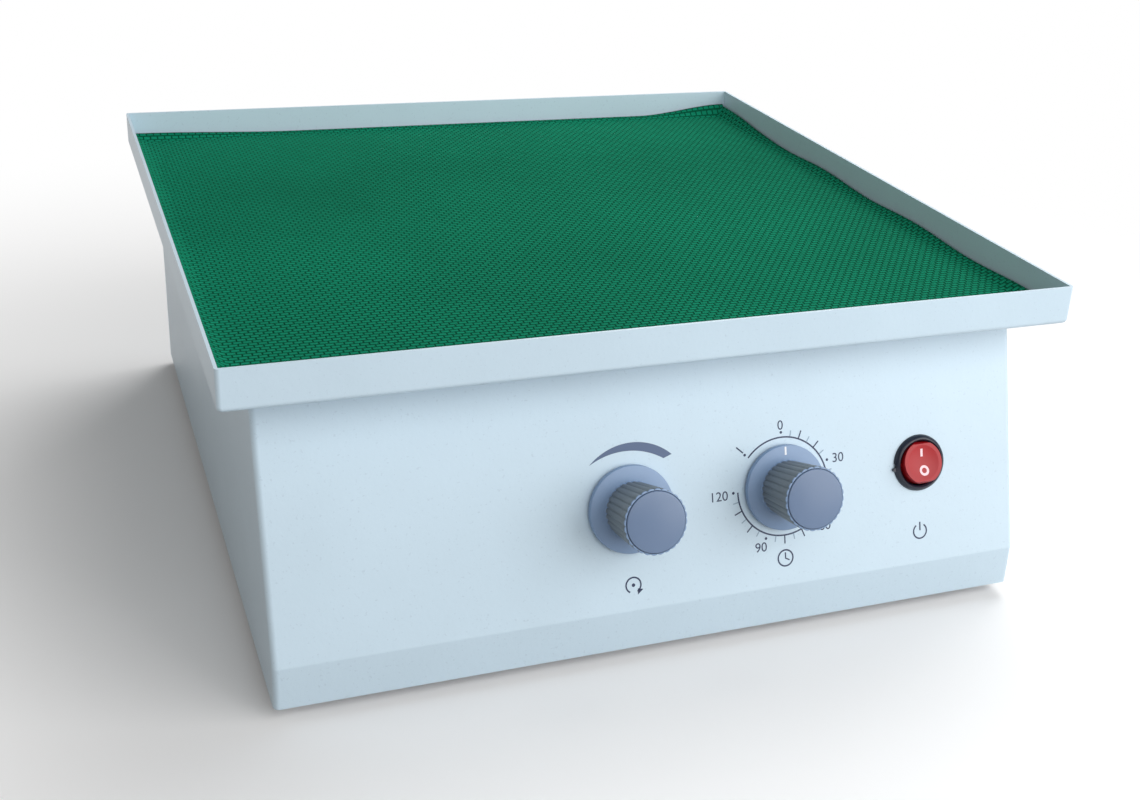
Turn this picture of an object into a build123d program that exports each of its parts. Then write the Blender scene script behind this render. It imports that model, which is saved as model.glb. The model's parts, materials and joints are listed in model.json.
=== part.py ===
from build123d import *
import math
import os

# An orbital shaker: a folded steel housing with a leaning control panel, and on top of it
# a shallow square tray that a belt-driven crank carries round in a small circle.
# Millimetres, +Z up, the front faces -Y. The origin is on the bench, under the middle of the
# whole outline from the knobs in front to the fuse cap behind.

# Tray and mat
tray_width = 330.0
tray_depth = 325.0
tray_wall = 15.7
tray_sheet = 1.2
tray_bend = 2.0
tray_corner = 1.6
mat_thickness = 2.0
mat_margin = 1.5
mat_corner = 3.0

# Housing
body_width = 305.0
body_depth = 327.0
body_height = 106.0
strip_height = 16.6
panel_lean = 17.0
housing_sheet = 1.5
housing_bend = 2.2
lip_width = 14.0

# Levels and running gaps
foot_height = 4.0
foot_diameter = 18.0
foot_inset = 22.0
foot_draft = 8.0
foot_web = 1.4
foot_bore_gap = 0.5
base_sheet = 1.5
base_setback = 3.0
tray_gap = 7.0
orbit_radius = 7.5
deck_hole_gap = 2.0
running_clearance = 0.04
axial_clearance = 0.3
fit_clearance = 0.05

# Drive plate and its columns
column_length = 55.0
column_across = 10.0
column_x = 118.0
column_inset = 33.0
plate_thickness = 5.0
plate_margin = 26.0
plate_back_margin = 5.0
plate_corner = 12.0

# Idler cranks at the four corners
idler_x = 110.0
idler_edge = 68.5
idler_shaft = 8.0
idler_bearing_od = 22.0
idler_bearing_width = 7.0
idler_web = 5.0
idler_web_width = 19.0
tower_wall = 4.0
tower_flange = 48.0
tower_flange_thickness = 4.0
tower_top_gap = 2.0
bearing_step = 2.0
bearing_recess = 0.5
collar_rise = 1.5

# Middle crank
journal = 12.0
journal_bearing_od = 32.0
journal_bearing_width = 10.0
crank_body = 16.0
crank_disc = 40.0
crank_disc_thickness = 6.0
crank_pin = 10.0
pin_bearing_od = 26.0
pin_bearing_width = 8.0
crank_housing_length = 38.0
crank_housing_wall = 5.0
crank_flange = 68.0
crank_flange_thickness = 5.0
counterweight_radius = 62.0
counterweight_thickness = 13.0
counterweight_hub = 34.0
counterweight_chamfer = 1.5
weight_angle = 75.0
weight_gap = 1.5
shoulder_rise = 2.0
shaft_overhang = 1.0
shaft_chamfer = 0.7
clip_thickness = 1.0
clip_reach = 3.0
clip_mouth = 4.0

# Belt and pulleys
driven_radius = 52.0
motor_pulley_radius = 13.0
belt_ribs = 4
rib_pitch = 2.34
rib_depth = 1.6
belt_back = 1.3
belt_clearance = 0.15
pulley_flange = 1.6
pulley_flange_rise = 1.5
pulley_lift = 5.5
driven_web = 4.0
driven_rim = 6.0
pulley_holes = 6
pulley_hole = 17.0

# Motor
motor_diameter = 57.0
motor_length = 46.0
motor_shaft = 8.0
motor_boss = 22.0
motor_bolt_circle = 44.0
motor_wall_gap = 17.3
motor_round = 3.0
motor_seam_drop = 6.0
motor_seam = 1.2
motor_seam_depth = 0.8
motor_thread = 8.0
shaft_setback = 2.0
tension_slot = 8.0
tension_play = 0.4

# Carrier plate under the tray
carrier_thickness = 3.0
carrier_arm = 34.0
hub_wall = 3.0
hub_lip = 1.5
middle_disc = 85.0
tray_screw_reach = (0.42, 0.72)

# Control panel, places measured from the bend up the slope
controls_height = 39.6
speed_x = -17.4
timer_x = 46.8
switch_x = 108.0
switch_rise = 1.9
skirt_diameter = 33.5
skirt_thickness = 2.6
knob_gap = 0.8
skirt_chamfer = 0.4
knob_height = 26.5
grip_base = 26.6
grip_front = 24.6
flute_count = 28
flute_radius = 0.95
cap_diameter = 20.4
cap_thickness = 1.6
cap_seat = 1.0
cap_dome = 0.7
cap_round = 0.5
spindle = 6.0
spindle_setback = 6.0
spindle_bushing = 9.0
bushing_out = 5.0
nut_across = 13.0
nut_thickness = 2.4
nut_room = 1.0
knob_wall_gap = 0.6
pot_diameter = 24.0
pot_depth = 11.0
pot_round = 1.0
pot_tab_width = 2.0
pot_tab_length = 7.0
pot_tab_pitch = 5.0
timer_size = 44.0
timer_depth = 28.0
timer_corner = 5.0
timer_chamfer = 2.0
timer_tab_pitch = 9.0
tab_length = 6.3
tab_reach = 7.0
tab_thickness = 0.8
blind_floor = 2.0
spindle_end_gap = 0.5
bezel_diameter = 23.0
bezel_thickness = 2.2
switch_hole = 20.2
switch_depth = 19.0
bezel_lip = 1.7
bezel_dip = 0.5
nub_diameter = 1.6
nub_drop = 1.5
rocker_diameter = 17.0
rocker_gap = 0.7
rocker_rise = 4.0
rocker_below = 5.0
rocker_throw = 20.0
rocker_pin = 2.0
well_floor = 9.5
dish_depth = 1.1
dish_border = 0.5
terminal_width = 4.8
terminal_pitch = 6.0
terminal_reach = 8.0

# Back wall
inlet_x = -95.0
inlet_height = 40.0
inlet_width = 27.4
inlet_tall = 19.8
inlet_flange_width = 50.0
inlet_flange_tall = 24.0
inlet_flange_thickness = 2.2
inlet_flange_corner = 5.0
inlet_screw_spacing = 40.0
inlet_depth = 22.0
cavity_width = 24.4
cavity_tall = 16.6
cavity_depth = 16.0
cavity_chamfer = 4.5
pin_width = 2.0
pin_tall = 4.0
pin_spread = 7.0
pin_offset = 2.0
pin_setback = 4.0
fuse_x = -48.0
fuse_hole = 12.6
fuse_depth = 26.0
fuse_collar = 2.0
fuse_collar_rise = 2.0
fuse_nut_thickness = 3.0
fuse_cap_length = 7.0
fuse_cap_draft = 4.0
fuse_slot = 1.6
fuse_slot_depth = 1.5
vent_count = 9
vent_length = 34.0
vent_width = 3.2
vent_pitch = 8.0
vent_x = 62.0
vent_height = 52.0
floor_vent_shift = -55.8

# Drive electronics on the base plate
board_width = 68.0
board_depth = 100.0
board_thickness = 1.6
board_x = -72.0
board_back_shift = 11.8
board_standoff = 8.0
board_hole_inset = 5.0
board_corner = 2.0
standoff_across = 5.5
standoff_stud = 2.0
sink_width = 44.0
sink_depth = 24.0
sink_height = 26.0
sink_web = 3.0
sink_fin = 1.6
sink_fins = 7
capacitor_diameter = 16.0
capacitor_height = 25.0
capacitor_pitch = 22.0
capacitor_round = 1.0
terminal_block_width = 42.0
terminal_block_depth = 9.0
terminal_block_height = 11.0
terminal_block_inset = 10.0
terminal_ways = 6
way_width = 4.0
way_depth = 1.5
transformer_x = 72.0
core_width = 57.0
core_depth = 24.0
core_height = 38.0
coil_width = 36.0
coil_depth = 44.0
coil_height = 25.0
coil_corner = 4.0
coil_gap = 0.2

# Fasteners
screw_small = 3.0
screw_medium = 4.0
screw_head_ratio = 1.8
screw_head_height = 0.55
screw_run_out = 1.0
nut_across_ratio = 1.75
nut_height_ratio = 0.8
column_screw_length = 10.0
countersink_ratio = 0.95

# Parts of a ball bearing's section, as shares of what lies between bore and rim
inner_race_share = 0.28
outer_race_share = 0.24
shield_recess_share = 0.06

# Levels worked out from the stack
base_z = foot_height
shell_z = base_z + base_sheet
deck_z = shell_z + body_height
tray_z = deck_z + tray_gap
carrier_z = tray_z - carrier_thickness
plate_z = shell_z + column_length
plate_top = plate_z + plate_thickness
pulley_z = plate_top + pulley_lift
belt_width = belt_ribs * rib_pitch
pulley_width = belt_width + 2 * pulley_flange + 2 * belt_clearance
counterweight_z = pulley_z + pulley_width + weight_gap
crank_disc_z = counterweight_z + counterweight_thickness
crank_disc_top = crank_disc_z + crank_disc_thickness
idler_web_top = crank_disc_top
idler_web_z = idler_web_top - idler_web

# Places worked out from the outline
lean = math.radians(panel_lean)
knob_reach = (
    knob_height * math.cos(lean)
    + (grip_front / 2 - controls_height) * math.sin(lean)
)
back_reach = fuse_collar + fuse_cap_length
front_y = knob_reach - (knob_reach + body_depth + back_reach) / 2
back_y = front_y + body_depth
body_mid_y = (front_y + back_y) / 2
bend_z = shell_z + strip_height
deck_front_y = front_y + (deck_z - bend_z) * math.tan(lean)
crank_y = (deck_front_y + back_y) / 2
platform_y = crank_y - orbit_radius
idler_y = body_depth / 2 - idler_edge
column_y = idler_y - column_inset
motor_y = back_y - motor_wall_gap - motor_diameter / 2
belt_centres = motor_y - crank_y
plate_front_y = crank_y - idler_y - plate_margin
plate_back_y = motor_y + motor_diameter / 2 + plate_back_margin
board_y = body_mid_y + board_back_shift
transformer_y = board_y
plate_width = 2 * (idler_x + plate_margin)
plate_depth = plate_back_y - plate_front_y
plate_mid_y = (plate_front_y + plate_back_y) / 2
panel = Plane(
    origin=(0, front_y, bend_z),
    x_dir=(1, 0, 0),
    z_dir=(0, -math.cos(lean), math.sin(lean)),
)
idler_places = [(sx * idler_x, crank_y + sy * idler_y) for sy in (-1, 1) for sx in (-1, 1)]
pivot_places = [(x, y - orbit_radius) for x, y in idler_places]
foot_places = [
    (sx * (body_width / 2 - foot_inset), body_mid_y + sy * (body_depth / 2 - foot_inset))
    for sy in (-1, 1)
    for sx in (-1, 1)
]
column_places = [(sx * column_x, crank_y + sy * column_y) for sy in (-1, 1) for sx in (-1, 1)]
lip_x = body_width / 2 - lip_width / 2
lip_y = body_depth / 2 - lip_width / 2
base_screw_places = [
    (sx * lip_x, body_mid_y + sy * body_depth / 4) for sx in (-1, 1) for sy in (-1, 1)
]
base_screw_places += [
    (sx * body_width / 4, body_mid_y + sy * lip_y) for sy in (-1, 1) for sx in (-1, 1)
]
written = []


def save(piece, label):
    """Name a finished piece and write it to its own file."""
    piece.part.label = label
    export_step(piece.part, f"parts/{label}.step")
    written.append(label)


def panel_at(x, rise, out=0.0):
    """A plane on the control panel, facing out of it, at a place on its slope."""
    return Plane(
        origin=panel.from_local_coords((x, rise, out)),
        x_dir=(1, 0, 0),
        z_dir=panel.z_dir,
    )


def back_at(x, height, out=0.0):
    """A plane on the back wall, facing out of it; x is the object's own x."""
    return Plane(origin=(x, back_y + out, height), x_dir=(-1, 0, 0), z_dir=(0, 1, 0))


def standing_screws(places, seat_z, size, length, down=True):
    """Round-head screws at the places, head on seat_z, the shank going down or up from it."""
    way = -1 if down else 1
    head = size * screw_head_ratio
    with BuildPart() as screws:
        with BuildSketch(Plane.XY.offset(seat_z)):
            with Locations(*places):
                Circle(size / 2)
        extrude(amount=way * length)
        with BuildSketch(Plane.XY.offset(seat_z)):
            with Locations(*places):
                Circle(head / 2)
        extrude(amount=-way * size * screw_head_height)
    return screws


def ball_bearings(places, bottom_z, bore, outside, width):
    """Shielded ball bearings standing on bottom_z: outer ring, recessed shields, inner ring."""
    inner_ring = bore + inner_race_share * (outside - bore)
    outer_ring = outside - outer_race_share * (outside - bore)
    recess = shield_recess_share * width
    with BuildPart() as rings:
        with BuildSketch(Plane.XY.offset(bottom_z)):
            with Locations(*places):
                Circle(outside / 2)
                Circle(bore / 2, mode=Mode.SUBTRACT)
        extrude(amount=width)
        for level, way in ((bottom_z, 1), (bottom_z + width, -1)):
            with BuildSketch(Plane.XY.offset(level)):
                with Locations(*places):
                    Circle(outer_ring / 2)
                    Circle(inner_ring / 2, mode=Mode.SUBTRACT)
            extrude(amount=way * recess, mode=Mode.SUBTRACT)
    return rings


# Housing: one folded and welded steel shell, open underneath, with a lip turned in for the base
pivot_hub = idler_bearing_od + 2 * hub_wall
pin_hub = pin_bearing_od + 2 * hub_wall
idler_deck_hole = pivot_hub + 2 * orbit_radius + 2 * deck_hole_gap
crank_deck_hole = pin_hub + 2 * orbit_radius + 2 * deck_hole_gap
with BuildPart() as housing_shell:
    with BuildSketch(Plane.YZ.offset(-body_width / 2)):
        with BuildLine():
            Polyline(
                (front_y, shell_z),
                (front_y, bend_z),
                (deck_front_y, deck_z),
                (back_y, deck_z),
                (back_y, shell_z),
                close=True,
            )
        make_face()
    extrude(amount=body_width)
    rim_edges = housing_shell.edges().group_by(Axis.Z)[0]
    fillet(housing_shell.edges() - rim_edges, radius=housing_bend)
    offset(amount=-housing_sheet, openings=housing_shell.faces().sort_by(Axis.Z)[0])
    with BuildSketch(Plane.XY.offset(shell_z)):
        with Locations((0, body_mid_y)):
            RectangleRounded(body_width, body_depth, housing_bend)
            Rectangle(body_width - 2 * lip_width, body_depth - 2 * lip_width, mode=Mode.SUBTRACT)
    extrude(amount=housing_sheet)
    with BuildSketch(Plane.XY.offset(shell_z)):
        with Locations(*base_screw_places):
            Circle(screw_small / 2 + fit_clearance)
    extrude(amount=housing_sheet, mode=Mode.SUBTRACT)
    with BuildSketch(Plane.XY.offset(deck_z)):
        with Locations(*idler_places):
            Circle(idler_deck_hole / 2)
        with Locations((0, crank_y)):
            Circle(crank_deck_hole / 2)
    extrude(amount=-2 * housing_sheet, mode=Mode.SUBTRACT)
    for x in (speed_x, timer_x):
        with BuildSketch(panel_at(x, controls_height)):
            Circle(spindle_bushing / 2 + fit_clearance)
        extrude(amount=-2 * housing_sheet, mode=Mode.SUBTRACT)
    with BuildSketch(panel_at(switch_x, controls_height + switch_rise)):
        Circle(switch_hole / 2)
    extrude(amount=-2 * housing_sheet, mode=Mode.SUBTRACT)
    with BuildSketch(back_at(inlet_x, inlet_height)):
        Rectangle(inlet_width, inlet_tall)
        with GridLocations(inlet_screw_spacing, 1, 2, 1):
            Circle(screw_small / 2 + fit_clearance)
    extrude(amount=-2 * housing_sheet, mode=Mode.SUBTRACT)
    with BuildSketch(back_at(fuse_x, inlet_height)):
        Circle(fuse_hole / 2)
    extrude(amount=-2 * housing_sheet, mode=Mode.SUBTRACT)
    with BuildSketch(back_at(vent_x, vent_height)):
        with GridLocations(vent_pitch, 1, vent_count, 1):
            SlotOverall(vent_length, vent_width, rotation=90)
    extrude(amount=-2 * housing_sheet, mode=Mode.SUBTRACT)
save(housing_shell, "housing_shell")

# Base plate under the lip, with its screws, the rubber feet and the columns
base_width = body_width - 2 * base_setback
base_depth = body_depth - 2 * base_setback
board_holes = [
    (
        board_x + sx * (board_width / 2 - board_hole_inset),
        board_y + sy * (board_depth / 2 - board_hole_inset),
    )
    for sy in (-1, 1)
    for sx in (-1, 1)
]
with BuildPart() as base_plate:
    with BuildSketch(Plane.XY.offset(base_z)):
        with Locations((0, body_mid_y)):
            RectangleRounded(base_width, base_depth, lip_width / 2)
        with Locations(*base_screw_places):
            Circle(screw_small / 2 + fit_clearance, mode=Mode.SUBTRACT)
        with Locations(*(foot_places + column_places)):
            Circle(screw_medium / 2 + fit_clearance, mode=Mode.SUBTRACT)
        with Locations((vent_x, body_mid_y + floor_vent_shift)):
            with GridLocations(vent_pitch, 1, vent_count, 1):
                SlotOverall(vent_length, vent_width, rotation=90, mode=Mode.SUBTRACT)
    extrude(amount=base_sheet)
save(base_plate, "base_plate")

base_screws = standing_screws(
    base_screw_places, base_z, screw_small, base_sheet + housing_sheet + screw_small, down=False
)
save(base_screws, "base_screws")

foot_bore = screw_medium * screw_head_ratio + 2 * foot_bore_gap
with BuildPart() as rubber_feet:
    with BuildSketch(Plane.XY.offset(base_z)):
        with Locations(*foot_places):
            Circle(foot_diameter / 2)
    extrude(amount=-foot_height, taper=foot_draft)
    with BuildSketch(Plane.XY):
        with Locations(*foot_places):
            Circle(foot_bore / 2)
    extrude(amount=foot_height - foot_web, mode=Mode.SUBTRACT)
    with BuildSketch(Plane.XY.offset(base_z)):
        with Locations(*foot_places):
            Circle(screw_medium / 2 + fit_clearance)
    extrude(amount=-foot_height, mode=Mode.SUBTRACT)
save(rubber_feet, "rubber_feet")

foot_screws = standing_screws(
    foot_places, base_z - foot_web, screw_medium, foot_web + base_sheet + screw_medium, down=False
)
save(foot_screws, "foot_screws")

with BuildPart() as foot_nuts:
    with BuildSketch(Plane.XY.offset(shell_z)):
        with Locations(*foot_places):
            RegularPolygon(screw_medium * nut_across_ratio / 2, 6, major_radius=False)
            Circle(screw_medium / 2 + fit_clearance, mode=Mode.SUBTRACT)
    extrude(amount=screw_medium * nut_height_ratio)
save(foot_nuts, "foot_nuts")

with BuildPart() as support_columns:
    with BuildSketch(Plane.XY.offset(shell_z)):
        with Locations(*column_places):
            RegularPolygon(column_across / 2, 6, major_radius=False)
            Circle(screw_medium / 2 + fit_clearance, mode=Mode.SUBTRACT)
    extrude(amount=column_length)
save(support_columns, "support_columns")

with BuildPart() as column_screws:
    for seat, way in ((base_z, 1), (plate_top, -1)):
        grip = base_sheet if way > 0 else plate_thickness
        with BuildSketch(Plane.XY.offset(seat)):
            with Locations(*column_places):
                Circle(screw_medium / 2)
        extrude(amount=way * (grip + column_screw_length))
        with BuildSketch(Plane.XY.offset(seat)):
            with Locations(*column_places):
                Circle(screw_medium * screw_head_ratio / 2)
        extrude(amount=-way * screw_medium * screw_head_height)
save(column_screws, "column_screws")

# Drive plate: carries the middle crank's housing, the four idler towers and the motor
crank_housing_od = journal_bearing_od + 2 * crank_housing_wall
crank_bolt_circle = (crank_housing_od + crank_flange) / 2
tower_od = idler_bearing_od + 2 * tower_wall
tower_bolt_circle = (tower_od + tower_flange) / 2
with BuildPart() as drive_plate:
    with BuildSketch(Plane.XY.offset(plate_z)):
        with Locations((0, plate_mid_y)):
            RectangleRounded(plate_width, plate_depth, plate_corner)
        with Locations(*column_places):
            Circle(screw_medium / 2 + fit_clearance, mode=Mode.SUBTRACT)
        with Locations(*idler_places):
            Circle(idler_bearing_od / 2, mode=Mode.SUBTRACT)
            with PolarLocations(tower_bolt_circle / 2, 3):
                Circle(screw_small / 2 + fit_clearance, mode=Mode.SUBTRACT)
        with Locations((0, crank_y)):
            Circle(crank_housing_od / 2 + fit_clearance, mode=Mode.SUBTRACT)
            with PolarLocations(crank_bolt_circle / 2, 4, start_angle=45):
                Circle(screw_medium / 2 + fit_clearance, mode=Mode.SUBTRACT)
        with Locations((0, motor_y)):
            SlotCenterToCenter(tension_slot, motor_boss + tension_play, rotation=90, mode=Mode.SUBTRACT)
            with PolarLocations(motor_bolt_circle / 2, 4, start_angle=45, rotate=False):
                SlotCenterToCenter(tension_slot, screw_medium + tension_play, rotation=90, mode=Mode.SUBTRACT)
    extrude(amount=plate_thickness)
save(drive_plate, "drive_plate")

# Flanged housing of the middle crank, hung under the drive plate, with a ball bearing at each end
crank_housing_z = plate_top - crank_housing_length
journal_seat = journal_bearing_width + 2 * bearing_recess
with BuildPart() as crank_bearing_housing:
    with BuildSketch(Plane.XZ):
        with BuildLine():
            Polyline(
                (journal_bearing_od / 2, crank_housing_z),
                (crank_housing_od / 2, crank_housing_z),
                (crank_housing_od / 2, plate_z - crank_flange_thickness),
                (crank_flange / 2, plate_z - crank_flange_thickness),
                (crank_flange / 2, plate_z),
                (crank_housing_od / 2, plate_z),
                (crank_housing_od / 2, plate_top),
                (journal_bearing_od / 2, plate_top),
                (journal_bearing_od / 2, plate_top - journal_seat),
                (journal_bearing_od / 2 - bearing_step, plate_top - journal_seat),
                (journal_bearing_od / 2 - bearing_step, crank_housing_z + journal_seat),
                (journal_bearing_od / 2, crank_housing_z + journal_seat),
                close=True,
            )
        make_face()
    revolve(axis=Axis.Z)
    with BuildSketch(Plane.XY.offset(plate_z)):
        with PolarLocations(crank_bolt_circle / 2, 4, start_angle=45):
            Circle(screw_medium / 2 + fit_clearance)
    extrude(amount=-crank_flange_thickness, mode=Mode.SUBTRACT)
crank_bearing_housing.part.position = (0, crank_y, 0)
save(crank_bearing_housing, "crank_bearing_housing")

crank_bearing_low = crank_housing_z + journal_seat - journal_bearing_width
crank_bearing_high = plate_top - journal_seat
journal_bore = journal + 2 * running_clearance
with BuildPart() as crank_bearings:
    for level in (crank_bearing_low, crank_bearing_high):
        add(
            ball_bearings(
                [(0, crank_y)], level, journal_bore, journal_bearing_od, journal_bearing_width
            ).part
        )
save(crank_bearings, "crank_bearings")

crank_bolt_places = [
    (
        crank_bolt_circle / 2 * math.cos(math.radians(45 + 90 * turn)),
        crank_y + crank_bolt_circle / 2 * math.sin(math.radians(45 + 90 * turn)),
    )
    for turn in range(4)
]
crank_housing_screws = standing_screws(
    crank_bolt_places,
    plate_top,
    screw_medium,
    plate_thickness + crank_flange_thickness + screw_run_out,
)
save(crank_housing_screws, "crank_housing_screws")

# Crank shaft: journal, pulley seat, disc and the eccentric pin that drives the tray
journal_bottom = crank_housing_z - shaft_overhang
crank_shoulder_z = plate_top + axial_clearance
pin_bearing_z = carrier_z - pin_bearing_width
pin_shoulder = crank_pin + 2 * shoulder_rise
with BuildPart() as crank_shaft:
    with BuildSketch(Plane.XY.offset(journal_bottom)):
        with Locations((0, crank_y)):
            Circle(journal / 2)
    extrude(amount=crank_shoulder_z - journal_bottom)
    chamfer(crank_shaft.faces().sort_by(Axis.Z)[0].edges(), length=shaft_chamfer)
    with BuildSketch(Plane.XY.offset(crank_shoulder_z)):
        with Locations((0, crank_y)):
            Circle(crank_body / 2)
    extrude(amount=crank_disc_z - crank_shoulder_z)
    with BuildSketch(Plane.XY.offset(crank_disc_z)):
        with Locations((0, crank_y)):
            Circle(crank_disc / 2)
    extrude(amount=crank_disc_thickness)
    with BuildSketch(Plane.XY.offset(crank_disc_top)):
        with Locations((0, platform_y)):
            Circle(pin_shoulder / 2)
    extrude(amount=pin_bearing_z - axial_clearance - crank_disc_top)
    with BuildSketch(Plane.XY.offset(pin_bearing_z - axial_clearance)):
        with Locations((0, platform_y)):
            Circle(crank_pin / 2)
    extrude(amount=pin_bearing_width + 2 * axial_clearance)
    chamfer(crank_shaft.faces().sort_by(Axis.Z)[-1].edges(), length=shaft_chamfer)
save(crank_shaft, "crank_shaft")

with BuildPart() as crank_clip:
    with BuildSketch(Plane.XY.offset(crank_bearing_low - axial_clearance)):
        with Locations((0, crank_y)):
            Circle(journal / 2 + clip_reach)
            Circle(journal / 2, mode=Mode.SUBTRACT)
            with Locations((journal / 2 + clip_reach, 0)):
                Rectangle(journal, clip_mouth, mode=Mode.SUBTRACT)
    extrude(amount=-clip_thickness)
save(crank_clip, "crank_clip")

# Counterweight opposite the pin, so the moving tray doesn't shake the bench
with BuildPart() as counterweight:
    with BuildSketch(Plane.XY.offset(counterweight_z)):
        with Locations((0, crank_y)):
            Circle(counterweight_hub / 2)
        with BuildLine():
            swing = math.radians(weight_angle)
            start = (
                counterweight_radius * math.sin(swing),
                crank_y + counterweight_radius * math.cos(swing),
            )
            finish = (-start[0], start[1])
            RadiusArc(start, finish, -counterweight_radius)
            Line(finish, (-counterweight_hub / 2, crank_y))
            Line((-counterweight_hub / 2, crank_y), (counterweight_hub / 2, crank_y))
            Line((counterweight_hub / 2, crank_y), start)
        make_face()
        with Locations((0, crank_y)):
            Circle(crank_body / 2, mode=Mode.SUBTRACT)
    extrude(amount=counterweight_thickness)
    rim_arcs = counterweight.edges().filter_by(GeomType.CIRCLE).sort_by(SortBy.RADIUS)[-2:]
    chamfer(rim_arcs, length=counterweight_chamfer)
save(counterweight, "counterweight")

# Ribbed belt pulleys; the grooves run round them, so the belt lies in them at every turn
groove_start = pulley_z + pulley_flange + belt_clearance


def pulley_outline(radius, bore, low, high):
    """Half section of a ribbed pulley: radius is where the belt's ribs begin."""
    rim = radius + pulley_flange_rise
    points = [(bore, low), (rim, low), (rim, low + pulley_flange), (radius, low + pulley_flange)]
    for rib in range(belt_ribs):
        side = groove_start + rib * rib_pitch
        points.append((radius, side))
        points.append((radius - rib_depth, side + rib_pitch / 2))
    points.append((radius, groove_start + belt_width))
    points += [(radius, high - pulley_flange), (rim, high - pulley_flange), (rim, high), (bore, high)]
    return points


with BuildPart() as driven_pulley:
    with BuildSketch(Plane.XZ):
        with BuildLine():
            Polyline(
                *pulley_outline(driven_radius, crank_body / 2, pulley_z, pulley_z + pulley_width),
                close=True,
            )
        make_face()
    revolve(axis=Axis.Z)
    with BuildSketch(Plane.XY.offset(pulley_z + pulley_width)):
        Circle(driven_radius - rib_depth - driven_rim)
        Circle(counterweight_hub / 2, mode=Mode.SUBTRACT)
    extrude(amount=-(pulley_width - driven_web), mode=Mode.SUBTRACT)
    with BuildSketch(Plane.XY.offset(pulley_z)):
        with PolarLocations((counterweight_hub / 2 + driven_radius - driven_rim) / 2, pulley_holes):
            Circle(pulley_hole / 2)
    extrude(amount=driven_web, mode=Mode.SUBTRACT)
driven_pulley.part.position = (0, crank_y, 0)
save(driven_pulley, "driven_pulley")

with BuildPart() as motor_pulley:
    with BuildSketch(Plane.XZ):
        with BuildLine():
            Polyline(
                *pulley_outline(
                    motor_pulley_radius, motor_shaft / 2, pulley_z, pulley_z + pulley_width
                ),
                close=True,
            )
        make_face()
    revolve(axis=Axis.Z)
motor_pulley.part.position = (0, motor_y, 0)
save(motor_pulley, "motor_pulley")

# Belt: one ribbed section carried round the two pulleys and along the two straight runs
wrap_tilt = math.asin((driven_radius - motor_pulley_radius) / belt_centres)
run_length = belt_centres * math.cos(wrap_tilt)


def belt_section(radius):
    """Points of the belt's section beside a pulley of this radius, as (distance out, height)."""
    inner = radius + belt_clearance
    points = [(inner, groove_start)]
    for rib in range(belt_ribs):
        side = groove_start + rib * rib_pitch
        points.append((inner - rib_depth, side + rib_pitch / 2))
        points.append((inner, side + rib_pitch))
    points += [(inner + belt_back, groove_start + belt_width), (inner + belt_back, groove_start)]
    return points


def belt_plane(x, y, angle):
    """Upright plane through a pulley's axis whose x runs outward at this angle in plan."""
    return Plane(
        origin=(x, y, 0),
        x_dir=(math.cos(angle), math.sin(angle), 0),
        z_dir=(math.sin(angle), -math.cos(angle), 0),
    )


driven_axis = Axis((0, crank_y, 0), (0, 0, 1))
motor_axis = Axis((0, motor_y, 0), (0, 0, 1))
with BuildPart() as drive_belt:
    with BuildSketch(belt_plane(0, crank_y, math.pi - wrap_tilt)):
        with BuildLine():
            Polyline(*belt_section(driven_radius), close=True)
        make_face()
    revolve(axis=driven_axis, revolution_arc=180 + 2 * math.degrees(wrap_tilt))
    with BuildSketch(belt_plane(0, motor_y, wrap_tilt)):
        with BuildLine():
            Polyline(*belt_section(motor_pulley_radius), close=True)
        make_face()
    revolve(axis=motor_axis, revolution_arc=180 - 2 * math.degrees(wrap_tilt))
    with BuildSketch(belt_plane(0, crank_y, wrap_tilt)):
        with BuildLine():
            Polyline(*belt_section(driven_radius), close=True)
        make_face()
    extrude(amount=-run_length)
    with BuildSketch(belt_plane(0, crank_y, math.pi - wrap_tilt)):
        with BuildLine():
            Polyline(*belt_section(driven_radius), close=True)
        make_face()
    extrude(amount=run_length)
save(drive_belt, "drive_belt")

# Motor hung under the drive plate, its shaft coming up through it
motor_z = plate_z - motor_length
motor_bore = motor_shaft + 2 * running_clearance
with BuildPart() as motor_body:
    with BuildSketch(Plane.XY.offset(motor_z)):
        with Locations((0, motor_y)):
            Circle(motor_diameter / 2)
    extrude(amount=motor_length)
    fillet(motor_body.edges().filter_by(GeomType.CIRCLE), radius=motor_round)
    with BuildSketch(Plane.XY.offset(plate_z - motor_seam_drop)):
        with Locations((0, motor_y)):
            Circle(motor_diameter / 2)
            Circle(motor_diameter / 2 - motor_seam_depth, mode=Mode.SUBTRACT)
    extrude(amount=-motor_seam, mode=Mode.SUBTRACT)
    with BuildSketch(Plane.XY.offset(plate_z)):
        with Locations((0, motor_y)):
            Circle(motor_boss / 2)
    extrude(amount=plate_thickness - screw_run_out)
    with BuildSketch(Plane.XY.offset(motor_z)):
        with Locations((0, motor_y)):
            Circle(motor_bore / 2)
    extrude(amount=motor_length + plate_thickness, mode=Mode.SUBTRACT)
    with BuildSketch(Plane.XY.offset(plate_z)):
        with Locations((0, motor_y)):
            with PolarLocations(motor_bolt_circle / 2, 4, start_angle=45):
                Circle(screw_medium / 2 + fit_clearance)
    extrude(amount=-motor_thread, mode=Mode.SUBTRACT)
save(motor_body, "motor_body")

motor_bolt_places = [
    (
        motor_bolt_circle / 2 * math.cos(math.radians(45 + 90 * turn)),
        motor_y + motor_bolt_circle / 2 * math.sin(math.radians(45 + 90 * turn)),
    )
    for turn in range(4)
]
motor_screws = standing_screws(
    motor_bolt_places, plate_top, screw_medium, plate_thickness + motor_thread - screw_run_out
)
save(motor_screws, "motor_screws")

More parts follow.
